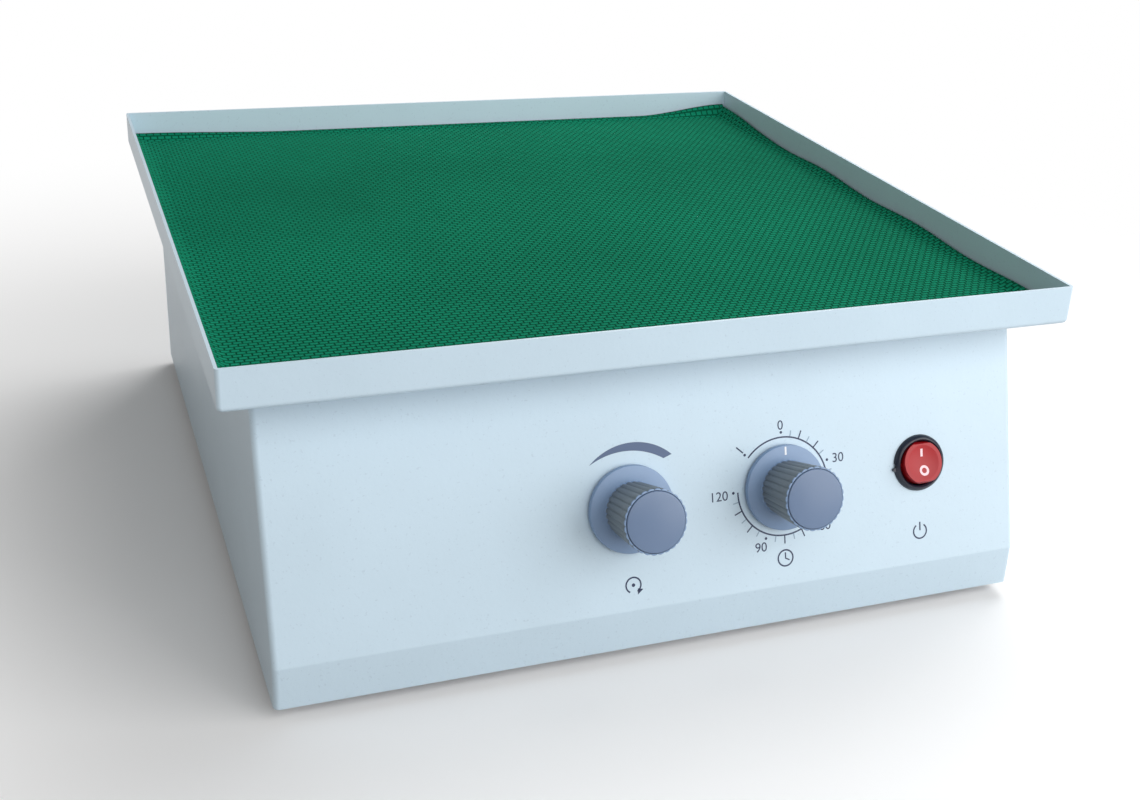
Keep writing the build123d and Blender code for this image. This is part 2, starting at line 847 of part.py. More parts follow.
with BuildPart() as motor_shaft_rod:
    with BuildSketch(Plane.XY.offset(motor_z + shaft_setback)):
        with Locations((0, motor_y)):
            Circle(motor_shaft / 2)
    extrude(amount=pulley_z + pulley_width + shoulder_rise - motor_z - shaft_setback)
    chamfer(motor_shaft_rod.faces().sort_by(Axis.Z)[-1].edges(), length=shaft_chamfer)
save(motor_shaft_rod, "motor_shaft")

# Idler cranks keep the tray square to the housing as it circles
tower_top = idler_web_z - tower_top_gap
tower_seat = idler_bearing_width + bearing_recess
with BuildPart() as idler_towers:
    with BuildSketch(Plane.XY.offset(plate_top)):
        with Locations(*idler_places):
            Circle(tower_flange / 2)
    extrude(amount=tower_flange_thickness)
    with BuildSketch(Plane.XY.offset(plate_top)):
        with Locations(*idler_places):
            Circle(tower_od / 2)
    extrude(amount=tower_top - plate_top)
    with BuildSketch(Plane.XY.offset(plate_top)):
        with Locations(*idler_places):
            Circle(idler_bearing_od / 2 - bearing_step)
    extrude(amount=tower_top - plate_top, mode=Mode.SUBTRACT)
    for level, way in ((plate_top, 1), (tower_top, -1)):
        with BuildSketch(Plane.XY.offset(level)):
            with Locations(*idler_places):
                Circle(idler_bearing_od / 2)
        extrude(amount=way * tower_seat, mode=Mode.SUBTRACT)
    with BuildSketch(Plane.XY.offset(plate_top)):
        with Locations(*idler_places):
            with PolarLocations(tower_bolt_circle / 2, 3):
                Circle(screw_small / 2 + fit_clearance)
    extrude(amount=tower_flange_thickness, mode=Mode.SUBTRACT)
save(idler_towers, "idler_towers")

idler_bore = idler_shaft + 2 * running_clearance
with BuildPart() as idler_bearings:
    for level in (plate_top + tower_seat - idler_bearing_width, tower_top - tower_seat):
        add(
            ball_bearings(
                idler_places, level, idler_bore, idler_bearing_od, idler_bearing_width
            ).part
        )
save(idler_bearings, "idler_bearings")

tower_screw_places = [
    (
        x + tower_bolt_circle / 2 * math.cos(math.radians(120 * turn)),
        y + tower_bolt_circle / 2 * math.sin(math.radians(120 * turn)),
    )
    for x, y in idler_places
    for turn in range(3)
]
tower_screws = standing_screws(
    tower_screw_places,
    plate_top + tower_flange_thickness,
    screw_small,
    tower_flange_thickness + plate_thickness,
)
save(tower_screws, "tower_screws")

pivot_bearing_z = carrier_z - idler_bearing_width
idler_bottom = plate_top - shaft_overhang
idler_collar_z = tower_top - tower_seat + idler_bearing_width + axial_clearance
for number, (x, y) in enumerate(idler_places, start=1):
    with BuildPart() as idler_crank:
        with BuildSketch(Plane.XY.offset(idler_bottom)):
            with Locations((x, y)):
                Circle(idler_shaft / 2)
        extrude(amount=idler_web_z - idler_bottom)
        with BuildSketch(Plane.XY.offset(idler_web_z)):
            with Locations((x, y - orbit_radius / 2)):
                SlotCenterToCenter(orbit_radius, idler_web_width, rotation=90)
        extrude(amount=idler_web)
        with BuildSketch(Plane.XY.offset(idler_web_z)):
            with Locations((x, y)):
                Circle(idler_shaft / 2 + collar_rise)
        extrude(amount=-(idler_web_z - idler_collar_z))
        with BuildSketch(Plane.XY.offset(idler_web_top)):
            with Locations((x, y - orbit_radius)):
                Circle(idler_shaft / 2 + collar_rise)
        extrude(amount=pivot_bearing_z - axial_clearance - idler_web_top)
        with BuildSketch(Plane.XY.offset(pivot_bearing_z - axial_clearance)):
            with Locations((x, y - orbit_radius)):
                Circle(idler_shaft / 2)
        extrude(amount=idler_bearing_width + 2 * axial_clearance)
    save(idler_crank, f"idler_crank_{number}")

# Carrier: a spider plate with a bearing cup at its middle and at each arm's end
arm_length = math.hypot(idler_x, idler_y)
arm_angle = math.degrees(math.atan2(idler_y, idler_x))
countersink_radius = screw_medium * countersink_ratio
countersink_depth = countersink_radius - screw_medium / 2
tray_screw_places = [
    (reach * sx * idler_x, platform_y + reach * sy * idler_y)
    for reach in tray_screw_reach
    for sy in (-1, 1)
    for sx in (-1, 1)
]
with BuildPart() as carrier_plate:
    with BuildSketch(Plane.XY.offset(carrier_z)):
        with Locations((0, platform_y)):
            for angle in (arm_angle, -arm_angle):
                SlotCenterToCenter(2 * arm_length, carrier_arm, rotation=angle)
            Circle(middle_disc / 2)
    extrude(amount=carrier_thickness)
    with BuildSketch(Plane.XY.offset(carrier_z)):
        with Locations(*pivot_places):
            Circle(pivot_hub / 2)
    extrude(amount=-(idler_bearing_width + hub_lip))
    with BuildSketch(Plane.XY.offset(carrier_z)):
        with Locations((0, platform_y)):
            Circle(pin_hub / 2)
    extrude(amount=-(pin_bearing_width + hub_lip))
    with BuildSketch(Plane.XY.offset(carrier_z)):
        with Locations(*pivot_places):
            Circle(idler_bearing_od / 2)
    extrude(amount=-(idler_bearing_width + hub_lip), mode=Mode.SUBTRACT)
    with BuildSketch(Plane.XY.offset(carrier_z)):
        with Locations((0, platform_y)):
            Circle(pin_bearing_od / 2)
    extrude(amount=-(pin_bearing_width + hub_lip), mode=Mode.SUBTRACT)
    with BuildSketch(Plane.XY.offset(carrier_z)):
        with Locations(*pivot_places):
            Circle(idler_bearing_od / 2 - bearing_step)
        with Locations((0, platform_y)):
            Circle(pin_bearing_od / 2 - bearing_step)
        with Locations(*tray_screw_places):
            Circle(screw_medium / 2 + fit_clearance)
    extrude(amount=carrier_thickness, mode=Mode.SUBTRACT)
    with BuildSketch(Plane.XY.offset(tray_z)):
        with Locations(*tray_screw_places):
            Circle(countersink_radius - tray_sheet + fit_clearance)
    extrude(amount=-(countersink_depth - tray_sheet), taper=45, mode=Mode.SUBTRACT)
save(carrier_plate, "carrier_plate")

pin_bore = crank_pin + 2 * running_clearance
pin_bearing = ball_bearings([(0, platform_y)], pin_bearing_z, pin_bore, pin_bearing_od, pin_bearing_width)
save(pin_bearing, "pin_bearing")

arm_bearings = ball_bearings(
    pivot_places, pivot_bearing_z, idler_bore, idler_bearing_od, idler_bearing_width
)
save(arm_bearings, "arm_bearings")

# Tray: a shallow folded pan with walls turned up on all four sides
with BuildPart() as tray:
    with BuildSketch(Plane.XY.offset(tray_z)):
        with Locations((0, platform_y)):
            RectangleRounded(tray_width, tray_depth, tray_corner)
    extrude(amount=tray_wall)
    fillet(tray.faces().sort_by(Axis.Z)[0].edges(), radius=tray_bend)
    offset(amount=-tray_sheet, openings=tray.faces().sort_by(Axis.Z)[-1])
    with BuildSketch(Plane.XY.offset(tray_z + tray_sheet)):
        with Locations(*tray_screw_places):
            Circle(countersink_radius + fit_clearance)
    extrude(amount=-tray_sheet, taper=45, mode=Mode.SUBTRACT)
save(tray, "tray")

with BuildPart() as tray_screws:
    with BuildSketch(Plane.XY.offset(carrier_z)):
        with Locations(*tray_screw_places):
            Circle(screw_medium / 2)
    extrude(amount=carrier_thickness + tray_sheet)
    with BuildSketch(Plane.XY.offset(tray_z + tray_sheet)):
        with Locations(*tray_screw_places):
            Circle(countersink_radius)
    extrude(amount=-countersink_depth, taper=45)
save(tray_screws, "tray_screws")

# Mat: a soft grip sheet cut to the tray's floor
mat_z = tray_z + tray_sheet
mat_width = tray_width - 2 * tray_sheet - 2 * mat_margin
mat_depth = tray_depth - 2 * tray_sheet - 2 * mat_margin
with BuildPart() as mat:
    with BuildSketch(Plane.XY.offset(mat_z)):
        with Locations((0, platform_y)):
            RectangleRounded(mat_width, mat_depth, mat_corner)
    extrude(amount=mat_thickness)
save(mat, "mat")

# Rotary controls: each has a threaded bushing through the panel, held by a nut
nut_recess = nut_across / math.cos(math.radians(30)) + 2 * nut_room
spindle_bore = spindle + 2 * running_clearance
spindle_out = knob_height - spindle_setback
recess_depth = nut_thickness + nut_room


def control_stands(x):
    """The control's plane on the panel and the upright plane through its axis."""
    stand = panel_at(x, controls_height)
    upright = Plane(origin=stand.origin, x_dir=stand.x_dir, z_dir=-stand.y_dir)
    return stand, upright


def control_nut(stand):
    """Hexagon nut that clamps a bushing to the panel."""
    with BuildPart() as nut:
        with BuildSketch(stand):
            RegularPolygon(nut_across / 2, 6, major_radius=False)
            Circle(spindle_bushing / 2 + fit_clearance, mode=Mode.SUBTRACT)
        extrude(amount=nut_thickness)
    return nut


def control_spindle(stand, depth):
    """Round spindle with the flat that a knob's set screw bites on."""
    with BuildPart() as rod:
        with BuildSketch(stand.offset(-depth)):
            Circle(spindle / 2)
        extrude(amount=depth + spindle_out)
        with BuildSketch(stand.offset(spindle_out)):
            with Locations((0, spindle / 2)):
                Rectangle(spindle, spindle / 2)
        extrude(amount=-(spindle_out - bushing_out - nut_room), mode=Mode.SUBTRACT)
    return rod


def fluted_knob(stand, upright):
    """One moulding: a flat skirt disc and a tapered grip with scallops all round."""
    grip_foot = knob_gap + skirt_thickness
    grip_top = knob_height - cap_thickness + cap_seat
    grip_taper = math.degrees(math.atan((grip_base - grip_front) / 2 / (grip_top - grip_foot)))
    with BuildPart() as knob:
        with BuildSketch(stand.offset(knob_gap)):
            Circle(skirt_diameter / 2)
        extrude(amount=skirt_thickness)
        chamfer(knob.edges().filter_by(GeomType.CIRCLE).sort_by(SortBy.RADIUS)[-2:], length=skirt_chamfer)
        with BuildSketch(stand.offset(grip_foot)):
            Circle(grip_base / 2)
            with PolarLocations(grip_base / 2 + flute_radius / 3, flute_count):
                Circle(flute_radius, mode=Mode.SUBTRACT)
        extrude(amount=grip_top - grip_foot, taper=grip_taper)
        with BuildSketch(upright):
            with BuildLine():
                Polyline(
                    (0, knob_gap),
                    (nut_recess / 2, knob_gap),
                    (nut_recess / 2, knob_gap + recess_depth),
                    (spindle_bushing / 2 + nut_room, knob_gap + recess_depth),
                    (spindle_bushing / 2 + nut_room, bushing_out + knob_wall_gap),
                    (spindle / 2 + fit_clearance, bushing_out + knob_wall_gap),
                    (spindle / 2 + fit_clearance, spindle_out + axial_clearance),
                    (0, spindle_out + axial_clearance),
                    close=True,
                )
            make_face()
        revolve(axis=Axis(stand.origin, stand.z_dir), mode=Mode.SUBTRACT)
        with BuildSketch(stand.offset(grip_top)):
            Circle(cap_diameter / 2 + fit_clearance)
        extrude(amount=-cap_seat, mode=Mode.SUBTRACT)
    return knob


def knob_cap(stand, upright):
    """Slightly domed disc pressed into the grip's front."""
    seat = knob_height - cap_thickness
    reach = cap_diameter / 2
    with BuildPart() as cap:
        with BuildSketch(upright):
            with BuildLine():
                Polyline(
                    (0, seat),
                    (reach, seat),
                    (reach, knob_height - cap_round),
                    (reach - 0.29 * cap_round, knob_height - 0.29 * cap_round),
                    (reach - cap_round, knob_height),
                    (0.75 * reach, knob_height + 0.44 * cap_dome),
                    (0.4 * reach, knob_height + 0.84 * cap_dome),
                    (0, knob_height + cap_dome),
                    close=True,
                )
            make_face()
        revolve(axis=Axis(stand.origin, stand.z_dir))
    return cap


speed_stand, speed_upright = control_stands(speed_x)
with BuildPart() as speed_pot:
    with BuildSketch(speed_stand.offset(-housing_sheet)):
        Circle(pot_diameter / 2)
    extrude(amount=-pot_depth)
    fillet(speed_pot.edges().filter_by(GeomType.CIRCLE), radius=pot_round)
    with BuildSketch(speed_stand.offset(-housing_sheet)):
        Circle(spindle_bushing / 2)
    extrude(amount=housing_sheet + bushing_out)
    with BuildSketch(speed_stand.offset(-housing_sheet - pot_depth / 2)):
        with Locations((0, -pot_diameter / 2 - pot_tab_length / 3)):
            with GridLocations(pot_tab_pitch, 1, 3, 1):
                Rectangle(pot_tab_width, pot_tab_length)
    extrude(amount=tab_thickness)
    with BuildSketch(speed_stand.offset(bushing_out)):
        Circle(spindle_bore / 2)
    extrude(amount=-(bushing_out + housing_sheet + pot_depth - blind_floor), mode=Mode.SUBTRACT)
save(speed_pot, "speed_pot")
save(control_nut(speed_stand), "speed_pot_nut")
speed_spindle_depth = housing_sheet + pot_depth - blind_floor - spindle_end_gap
save(control_spindle(speed_stand, speed_spindle_depth), "speed_spindle")
save(fluted_knob(speed_stand, speed_upright), "speed_knob")
save(knob_cap(speed_stand, speed_upright), "speed_knob_cap")

timer_stand, timer_upright = control_stands(timer_x)
with BuildPart() as timer_body:
    with BuildSketch(timer_stand.offset(-housing_sheet)):
        RectangleRounded(timer_size, timer_size, timer_corner)
    extrude(amount=-timer_depth)
    timer_rear = timer_body.faces().sort_by(Axis(timer_stand.origin, timer_stand.z_dir))[0]
    chamfer(timer_rear.edges(), length=timer_chamfer)
    with BuildSketch(timer_stand.offset(-housing_sheet)):
        Circle(spindle_bushing / 2)
    extrude(amount=housing_sheet + bushing_out)
    with BuildSketch(timer_stand.offset(-housing_sheet - timer_depth)):
        with Locations((0, timer_size / 2 - tab_length)):
            with GridLocations(timer_tab_pitch, 1, 4, 1):
                Rectangle(tab_thickness, tab_length)
    extrude(amount=-tab_reach)
    with BuildSketch(timer_stand.offset(bushing_out)):
        Circle(spindle_bore / 2)
    extrude(amount=-(bushing_out + housing_sheet + timer_depth - 2 * blind_floor), mode=Mode.SUBTRACT)
save(timer_body, "timer_body")
save(control_nut(timer_stand), "timer_nut")
timer_spindle_depth = housing_sheet + timer_depth - 2 * blind_floor - spindle_end_gap
save(control_spindle(timer_stand, timer_spindle_depth), "timer_spindle")
save(fluted_knob(timer_stand, timer_upright), "timer_knob")
save(knob_cap(timer_stand, timer_upright), "timer_knob_cap")

# Round rocker switch: bezel and sleeve, a dished rocker on two pins, and its terminals
switch_rise_total = controls_height + switch_rise
switch_stand = panel_at(switch_x, switch_rise_total)
switch_upright = Plane(origin=switch_stand.origin, x_dir=switch_stand.x_dir, z_dir=-switch_stand.y_dir)
rocker_well = rocker_diameter + 2 * rocker_gap
sleeve_diameter = switch_hole - 2 * fit_clearance
with BuildPart() as switch_body:
    with BuildSketch(switch_upright):
        with BuildLine():
            Line((rocker_well / 2, 0), (bezel_diameter / 2, 0))
            ThreePointArc(
                (bezel_diameter / 2, 0),
                (bezel_diameter / 2 - bezel_lip / 3, bezel_thickness * 2 / 3),
                (bezel_diameter / 2 - bezel_lip, bezel_thickness),
            )
            Line(
                (bezel_diameter / 2 - bezel_lip, bezel_thickness),
                (rocker_well / 2, bezel_thickness - bezel_dip),
            )
            Line((rocker_well / 2, bezel_thickness - bezel_dip), (rocker_well / 2, 0))
        make_face()
    revolve(axis=Axis(switch_stand.origin, switch_stand.z_dir))
    with BuildSketch(switch_stand):
        Circle(sleeve_diameter / 2)
        Circle(rocker_well / 2, mode=Mode.SUBTRACT)
    extrude(amount=-switch_depth)
    with BuildSketch(switch_stand.offset(-switch_depth)):
        Circle(sleeve_diameter / 2)
    extrude(amount=switch_depth - well_floor)
    with BuildSketch(switch_stand):
        with Locations((-bezel_diameter / 2, -nub_drop)):
            Circle(nub_diameter / 2)
        Circle(bezel_diameter / 2 - nub_diameter / 2, mode=Mode.SUBTRACT)
    extrude(amount=bezel_thickness / 2)
    with BuildSketch(Plane(switch_stand.origin, x_dir=switch_stand.y_dir, z_dir=switch_stand.x_dir)):
        Circle(rocker_pin / 2 + running_clearance)
    extrude(amount=switch_hole, both=True, mode=Mode.SUBTRACT)
save(switch_body, "switch_body")

rocker_stand = switch_stand.rotated((-rocker_throw / 2, 0, 0))
rocker_side = Plane(origin=rocker_stand.origin, x_dir=rocker_stand.y_dir, z_dir=rocker_stand.x_dir)
rocker_half = rocker_diameter / 2
rocker_edge = math.sqrt(rocker_half**2 - rocker_rise**2)
dish_reach = rocker_edge - dish_border
dish_radius = (dish_reach**2 + dish_depth**2) / (2 * dish_depth)
with BuildPart() as switch_rocker:
    with BuildSketch(rocker_stand.offset(-rocker_below)):
        Circle(rocker_half)
    extrude(amount=rocker_below + rocker_rise)
    with BuildSketch(rocker_side):
        Circle(rocker_half)
    extrude(amount=rocker_diameter, both=True, mode=Mode.INTERSECT)
    with BuildSketch(rocker_side):
        Circle(rocker_pin / 2)
    extrude(amount=(rocker_well + sleeve_diameter) / 4, both=True)
    with Locations(rocker_stand.offset(rocker_rise - dish_depth + dish_radius)):
        Sphere(dish_radius, mode=Mode.SUBTRACT)
save(switch_rocker, "switch_rocker")

with BuildPart() as switch_terminals:
    with BuildSketch(switch_stand.offset(-switch_depth)):
        with GridLocations(1, terminal_pitch, 1, 3):
            Rectangle(terminal_width, tab_thickness)
    extrude(amount=-terminal_reach)
save(switch_terminals, "switch_terminals")

# Drive electronics: a board on brass standoffs with its large parts, and the mains transformer
board_z = shell_z + board_standoff
board_top = board_z + board_thickness
with BuildPart() as board_standoffs:
    with BuildSketch(Plane.XY.offset(shell_z)):
        with Locations(*board_holes):
            RegularPolygon(standoff_across / 2, 6, major_radius=False)
    extrude(amount=board_standoff)
    with BuildSketch(Plane.XY.offset(board_z)):
        with Locations(*board_holes):
            Circle(screw_small / 2)
    extrude(amount=board_thickness + standoff_stud)
save(board_standoffs, "board_standoffs")

with BuildPart() as control_board:
    with BuildSketch(Plane.XY.offset(board_z)):
        with Locations((board_x, board_y)):
            RectangleRounded(board_width, board_depth, board_corner)
        with Locations(*board_holes):
            Circle(screw_small / 2 + fit_clearance, mode=Mode.SUBTRACT)
    extrude(amount=board_thickness)
save(control_board, "control_board")

with BuildPart() as board_heat_sink:
    with BuildSketch(Plane.XY.offset(board_top)):
        with Locations((board_x, board_y - board_depth / 4)):
            Rectangle(sink_width, sink_web)
            with GridLocations(sink_width / sink_fins, 1, sink_fins, 1):
                Rectangle(sink_fin, sink_depth)
    extrude(amount=sink_height)
save(board_heat_sink, "board_heat_sink")

with BuildPart() as board_capacitors:
    with BuildSketch(Plane.XY.offset(board_top)):
        with Locations((board_x, board_y + board_depth / 6)):
            with GridLocations(capacitor_pitch, 1, 2, 1):
                Circle(capacitor_diameter / 2)
    extrude(amount=capacitor_height)
    fillet(board_capacitors.faces().sort_by(Axis.Z)[-2:].edges(), radius=capacitor_round)
save(board_capacitors, "board_capacitors")

with BuildPart() as board_terminals:
    with BuildSketch(Plane.XY.offset(board_top)):
        with Locations((board_x, board_y + board_depth / 2 - terminal_block_inset)):
            Rectangle(terminal_block_width, terminal_block_depth)
            with Locations((0, -terminal_block_depth / 2)):
                with GridLocations(terminal_block_width / terminal_ways, 1, terminal_ways, 1):
                    Rectangle(way_width, 2 * way_depth, mode=Mode.SUBTRACT)
    extrude(amount=terminal_block_height)
save(board_terminals, "board_terminals")

core_window_z = shell_z + (core_height - coil_height) / 2
with BuildPart() as transformer_core:
    with BuildSketch(Plane.XY.offset(shell_z)):
        with Locations((transformer_x, transformer_y)):
            Rectangle(core_width, core_depth)
    extrude(amount=core_height)
    with BuildSketch(Plane.XY.offset(core_window_z)):
        with Locations((transformer_x, transformer_y)):
            Rectangle(coil_width, core_depth)
            Rectangle(core_width / 3, core_depth, mode=Mode.SUBTRACT)
    extrude(amount=coil_height, mode=Mode.SUBTRACT)
save(transformer_core, "transformer_core")

with BuildPart() as transformer_coil:
    with BuildSketch(Plane.XY.offset(core_window_z)):
        with Locations((transformer_x, transformer_y)):
            RectangleRounded(coil_width - 2 * coil_gap, coil_depth, coil_corner)
            Rectangle(core_width / 3 + 2 * coil_gap, core_depth + 2 * coil_gap, mode=Mode.SUBTRACT)
    extrude(amount=coil_height)
save(transformer_coil, "transformer_coil")

# Back wall: mains inlet with its pins and screws, and the fuse holder with its cap
inlet_stand = back_at(inlet_x, inlet_height)
with BuildPart() as power_inlet:
    with BuildSketch(inlet_stand):
        RectangleRounded(inlet_flange_width, inlet_flange_tall, inlet_flange_corner)
        with GridLocations(inlet_screw_spacing, 1, 2, 1):
            Circle(screw_small / 2 + fit_clearance, mode=Mode.SUBTRACT)
    extrude(amount=inlet_flange_thickness)
    with BuildSketch(inlet_stand):
        Rectangle(inlet_width - 2 * fit_clearance, inlet_tall - 2 * fit_clearance)
    extrude(amount=-inlet_depth)
    with BuildSketch(inlet_stand.offset(inlet_flange_thickness)) as cavity:
        Rectangle(cavity_width, cavity_tall)
        chamfer(cavity.vertices().group_by(Axis.Y)[-1], length=cavity_chamfer)
    extrude(amount=-cavity_depth, mode=Mode.SUBTRACT)
save(power_inlet, "power_inlet")

with BuildPart() as inlet_pins:
    with BuildSketch(inlet_stand.offset(inlet_flange_thickness - cavity_depth)):
        with Locations((0, pin_offset), (-pin_spread, -pin_offset), (pin_spread, -pin_offset)):
            Rectangle(pin_width, pin_tall)
    extrude(amount=cavity_depth - pin_setback)
save(inlet_pins, "inlet_pins")

with BuildPart() as inlet_screws:
    with BuildSketch(inlet_stand.offset(inlet_flange_thickness)):
        with GridLocations(inlet_screw_spacing, 1, 2, 1):
            Circle(screw_small * screw_head_ratio / 2)
    extrude(amount=screw_small * screw_head_height)
    with BuildSketch(inlet_stand.offset(inlet_flange_thickness)):
        with GridLocations(inlet_screw_spacing, 1, 2, 1):
            Circle(screw_small / 2)
    extrude(amount=-(inlet_flange_thickness + housing_sheet + 2 * screw_run_out))
save(inlet_screws, "inlet_screws")

fuse_stand = back_at(fuse_x, inlet_height)
with BuildPart() as fuse_holder:
    with BuildSketch(fuse_stand):
        Circle(fuse_hole / 2 + fuse_collar_rise)
    extrude(amount=fuse_collar)
    with BuildSketch(fuse_stand):
        Circle(fuse_hole / 2 - fit_clearance)
    extrude(amount=-fuse_depth)
    with BuildSketch(fuse_stand.offset(-housing_sheet)):
        RegularPolygon(fuse_hole / 2 + fuse_collar_rise, 6, major_radius=False)
    extrude(amount=-fuse_nut_thickness)
save(fuse_holder, "fuse_holder")

with BuildPart() as fuse_cap:
    with BuildSketch(fuse_stand.offset(fuse_collar)):
        Circle(fuse_hole / 2)
    extrude(amount=fuse_cap_length, taper=fuse_cap_draft)
    with BuildSketch(fuse_stand.offset(fuse_collar + fuse_cap_length)):
        Rectangle(fuse_hole, fuse_slot)
    extrude(amount=-fuse_slot_depth, mode=Mode.SUBTRACT)
save(fuse_cap, "fuse_cap")

print(len(written), "pieces written")
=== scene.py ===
import json
import math

import bpy
import numpy as np
from mathutils import Matrix, Vector


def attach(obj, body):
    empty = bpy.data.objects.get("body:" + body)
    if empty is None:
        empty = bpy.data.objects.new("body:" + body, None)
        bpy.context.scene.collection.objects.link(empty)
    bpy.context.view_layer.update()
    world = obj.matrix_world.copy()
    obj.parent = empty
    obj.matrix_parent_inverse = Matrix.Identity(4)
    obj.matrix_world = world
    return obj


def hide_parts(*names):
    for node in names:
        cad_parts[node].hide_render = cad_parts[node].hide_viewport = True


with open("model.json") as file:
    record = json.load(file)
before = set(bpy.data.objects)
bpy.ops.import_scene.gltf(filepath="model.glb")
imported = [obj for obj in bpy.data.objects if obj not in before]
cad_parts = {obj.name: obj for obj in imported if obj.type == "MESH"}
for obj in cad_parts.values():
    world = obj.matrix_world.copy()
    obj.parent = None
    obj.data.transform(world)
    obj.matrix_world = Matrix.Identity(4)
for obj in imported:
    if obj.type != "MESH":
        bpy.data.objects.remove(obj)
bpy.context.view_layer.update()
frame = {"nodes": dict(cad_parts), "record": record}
nodes = frame["nodes"]
scene = bpy.context.scene
scene.view_settings.view_transform = "Standard"

MM = 0.001

# Sizes repeated from part.py, in millimetres
panel_lean = math.radians(17.0)
front_y = -159.31984
bend_z = 22.1
controls_height = 39.6
speed_x = -17.4
timer_x = 46.8
switch_x = 108.0
switch_rise = 1.9
skirt_radius = 16.75
skirt_foot = 0.8
skirt_top = 3.4
knob_height = 26.5
cap_thickness = 1.6
cap_dome = 0.7
nut_thickness = 2.4
nut_across = 13.0
nut_room = 1.0
recess_top = skirt_foot + nut_thickness + nut_room
recess_radius = nut_across / 2 / math.cos(math.radians(30)) + nut_room
bushing_radius = 5.5
bushing_top = 5.6
bore_radius = 3.05
bore_top = 20.8
rocker_half = 8.5
rocker_rise = 4.0
rocker_tilt = math.radians(-10.0)
dish_depth = 1.1
dish_border = 0.5
platform_y = 10.34633
tray_floor_z = 119.7
mat_half_width = 162.3
mat_half_depth = 159.8
mat_thickness = 2.0


def rgb(red, green, blue):
    """Linear RGBA of an sRGB colour given in 0 to 255."""
    values = []
    for value in (red, green, blue):
        part = value / 255
        values.append(part / 12.92 if part <= 0.04045 else ((part + 0.055) / 1.055) ** 2.4)
    return (*values, 1.0)


def new_material(name):
    """An empty node material and its Principled shader."""
    material = bpy.data.materials.new(name)
    material.use_nodes = True
    tree = material.node_tree
    shader = next(n for n in tree.nodes if n.type == "BSDF_PRINCIPLED")
    return material, tree, shader


def coordinates(tree):
    """The object's own coordinates in metres, which don't move with the camera."""
    return tree.nodes.new("ShaderNodeTexCoord").outputs["Object"]


def noise(tree, vector, scale, detail, roughness=0.5):
    """A noise texture's value."""
    node = tree.nodes.new("ShaderNodeTexNoise")
    node.inputs["Scale"].default_value = scale
    node.inputs["Detail"].default_value = detail
    node.inputs["Roughness"].default_value = roughness
    tree.links.new(vector, node.inputs["Vector"])
    return node.outputs["Fac"]


def ramp(tree, value, stops):
    """A colour ramp over the stops, each a place and a linear colour."""
    node = tree.nodes.new("ShaderNodeValToRGB")
    elements = node.color_ramp.elements
    while len(elements) < len(stops):
        elements.new(0.5)
    for element, (place, colour) in zip(elements, stops):
        element.position = place
        element.color = colour
    tree.links.new(value, node.inputs["Fac"])
    return node.outputs["Color"]


def bump(tree, height, distance, normal=None):
    """A bump node fed by a height, on top of another bump if one is given."""
    node = tree.nodes.new("ShaderNodeBump")
    node.inputs["Distance"].default_value = distance
    node.inputs["Strength"].default_value = 1.0
    tree.links.new(height, node.inputs["Height"])
    if normal is not None:
        tree.links.new(normal, node.inputs["Normal"])
    return node.outputs["Normal"]


def multiply(tree, first, second, share):
    """The first colour darkened by the second, by the given share."""
    node = tree.nodes.new("ShaderNodeMix")
    node.data_type = "RGBA"
    node.blend_type = "MULTIPLY"
    node.inputs["Factor"].default_value = share
    tree.links.new(first, node.inputs["A"])
    tree.links.new(second, node.inputs["B"])
    return node.outputs["Result"]


def shade(colour, factor):
    """The same colour, darker or lighter."""
    return (colour[0] * factor, colour[1] * factor, colour[2] * factor, 1.0)


def surface(name, colour, roughness, metallic=0.0, grain=400.0, depth=0.02, spread=0.08):
    """A finish with a fine grain, its depth in millimetres, and a slight unevenness in its colour."""
    material, tree, shader = new_material(name)
    shader.inputs["Roughness"].default_value = roughness
    shader.inputs["Metallic"].default_value = metallic
    place = coordinates(tree)
    blotches = noise(tree, place, scale=grain * 0.05, detail=3.0)
    tint = ramp(tree, blotches, [(0.3, shade(colour, 1 - spread)), (0.7, shade(colour, 1 + spread))])
    tree.links.new(tint, shader.inputs["Base Color"])
    grains = noise(tree, place, scale=grain, detail=3.0)
    tree.links.new(bump(tree, grains, distance=depth * MM), shader.inputs["Normal"])
    return material


def powder_coat(name, colour):
    """Pale powder coat: a soft orange peel and a few faint specks in the colour."""
    material, tree, shader = new_material(name)
    shader.inputs["Roughness"].default_value = 0.42
    shader.inputs["Coat Weight"].default_value = 0.25
    shader.inputs["Coat Roughness"].default_value = 0.3
    place = coordinates(tree)
    drift = ramp(
        tree,
        noise(tree, place, scale=14.0, detail=4.0, roughness=0.6),
        [(0.3, shade(colour, 0.965)), (0.7, shade(colour, 1.02))],
    )
    speck = ramp(
        tree,
        noise(tree, place, scale=900.0, detail=1.0),
        [(0.66, (1.0, 1.0, 1.0, 1.0)), (0.78, (0.82, 0.83, 0.85, 1.0))],
    )
    tree.links.new(multiply(tree, drift, speck, share=0.6), shader.inputs["Base Color"])
    peel = bump(tree, noise(tree, place, scale=420.0, detail=2.0), distance=0.05 * MM)
    grit = bump(tree, noise(tree, place, scale=1900.0, detail=1.0), distance=0.012 * MM, normal=peel)
    tree.links.new(grit, shader.inputs["Normal"])
    return material


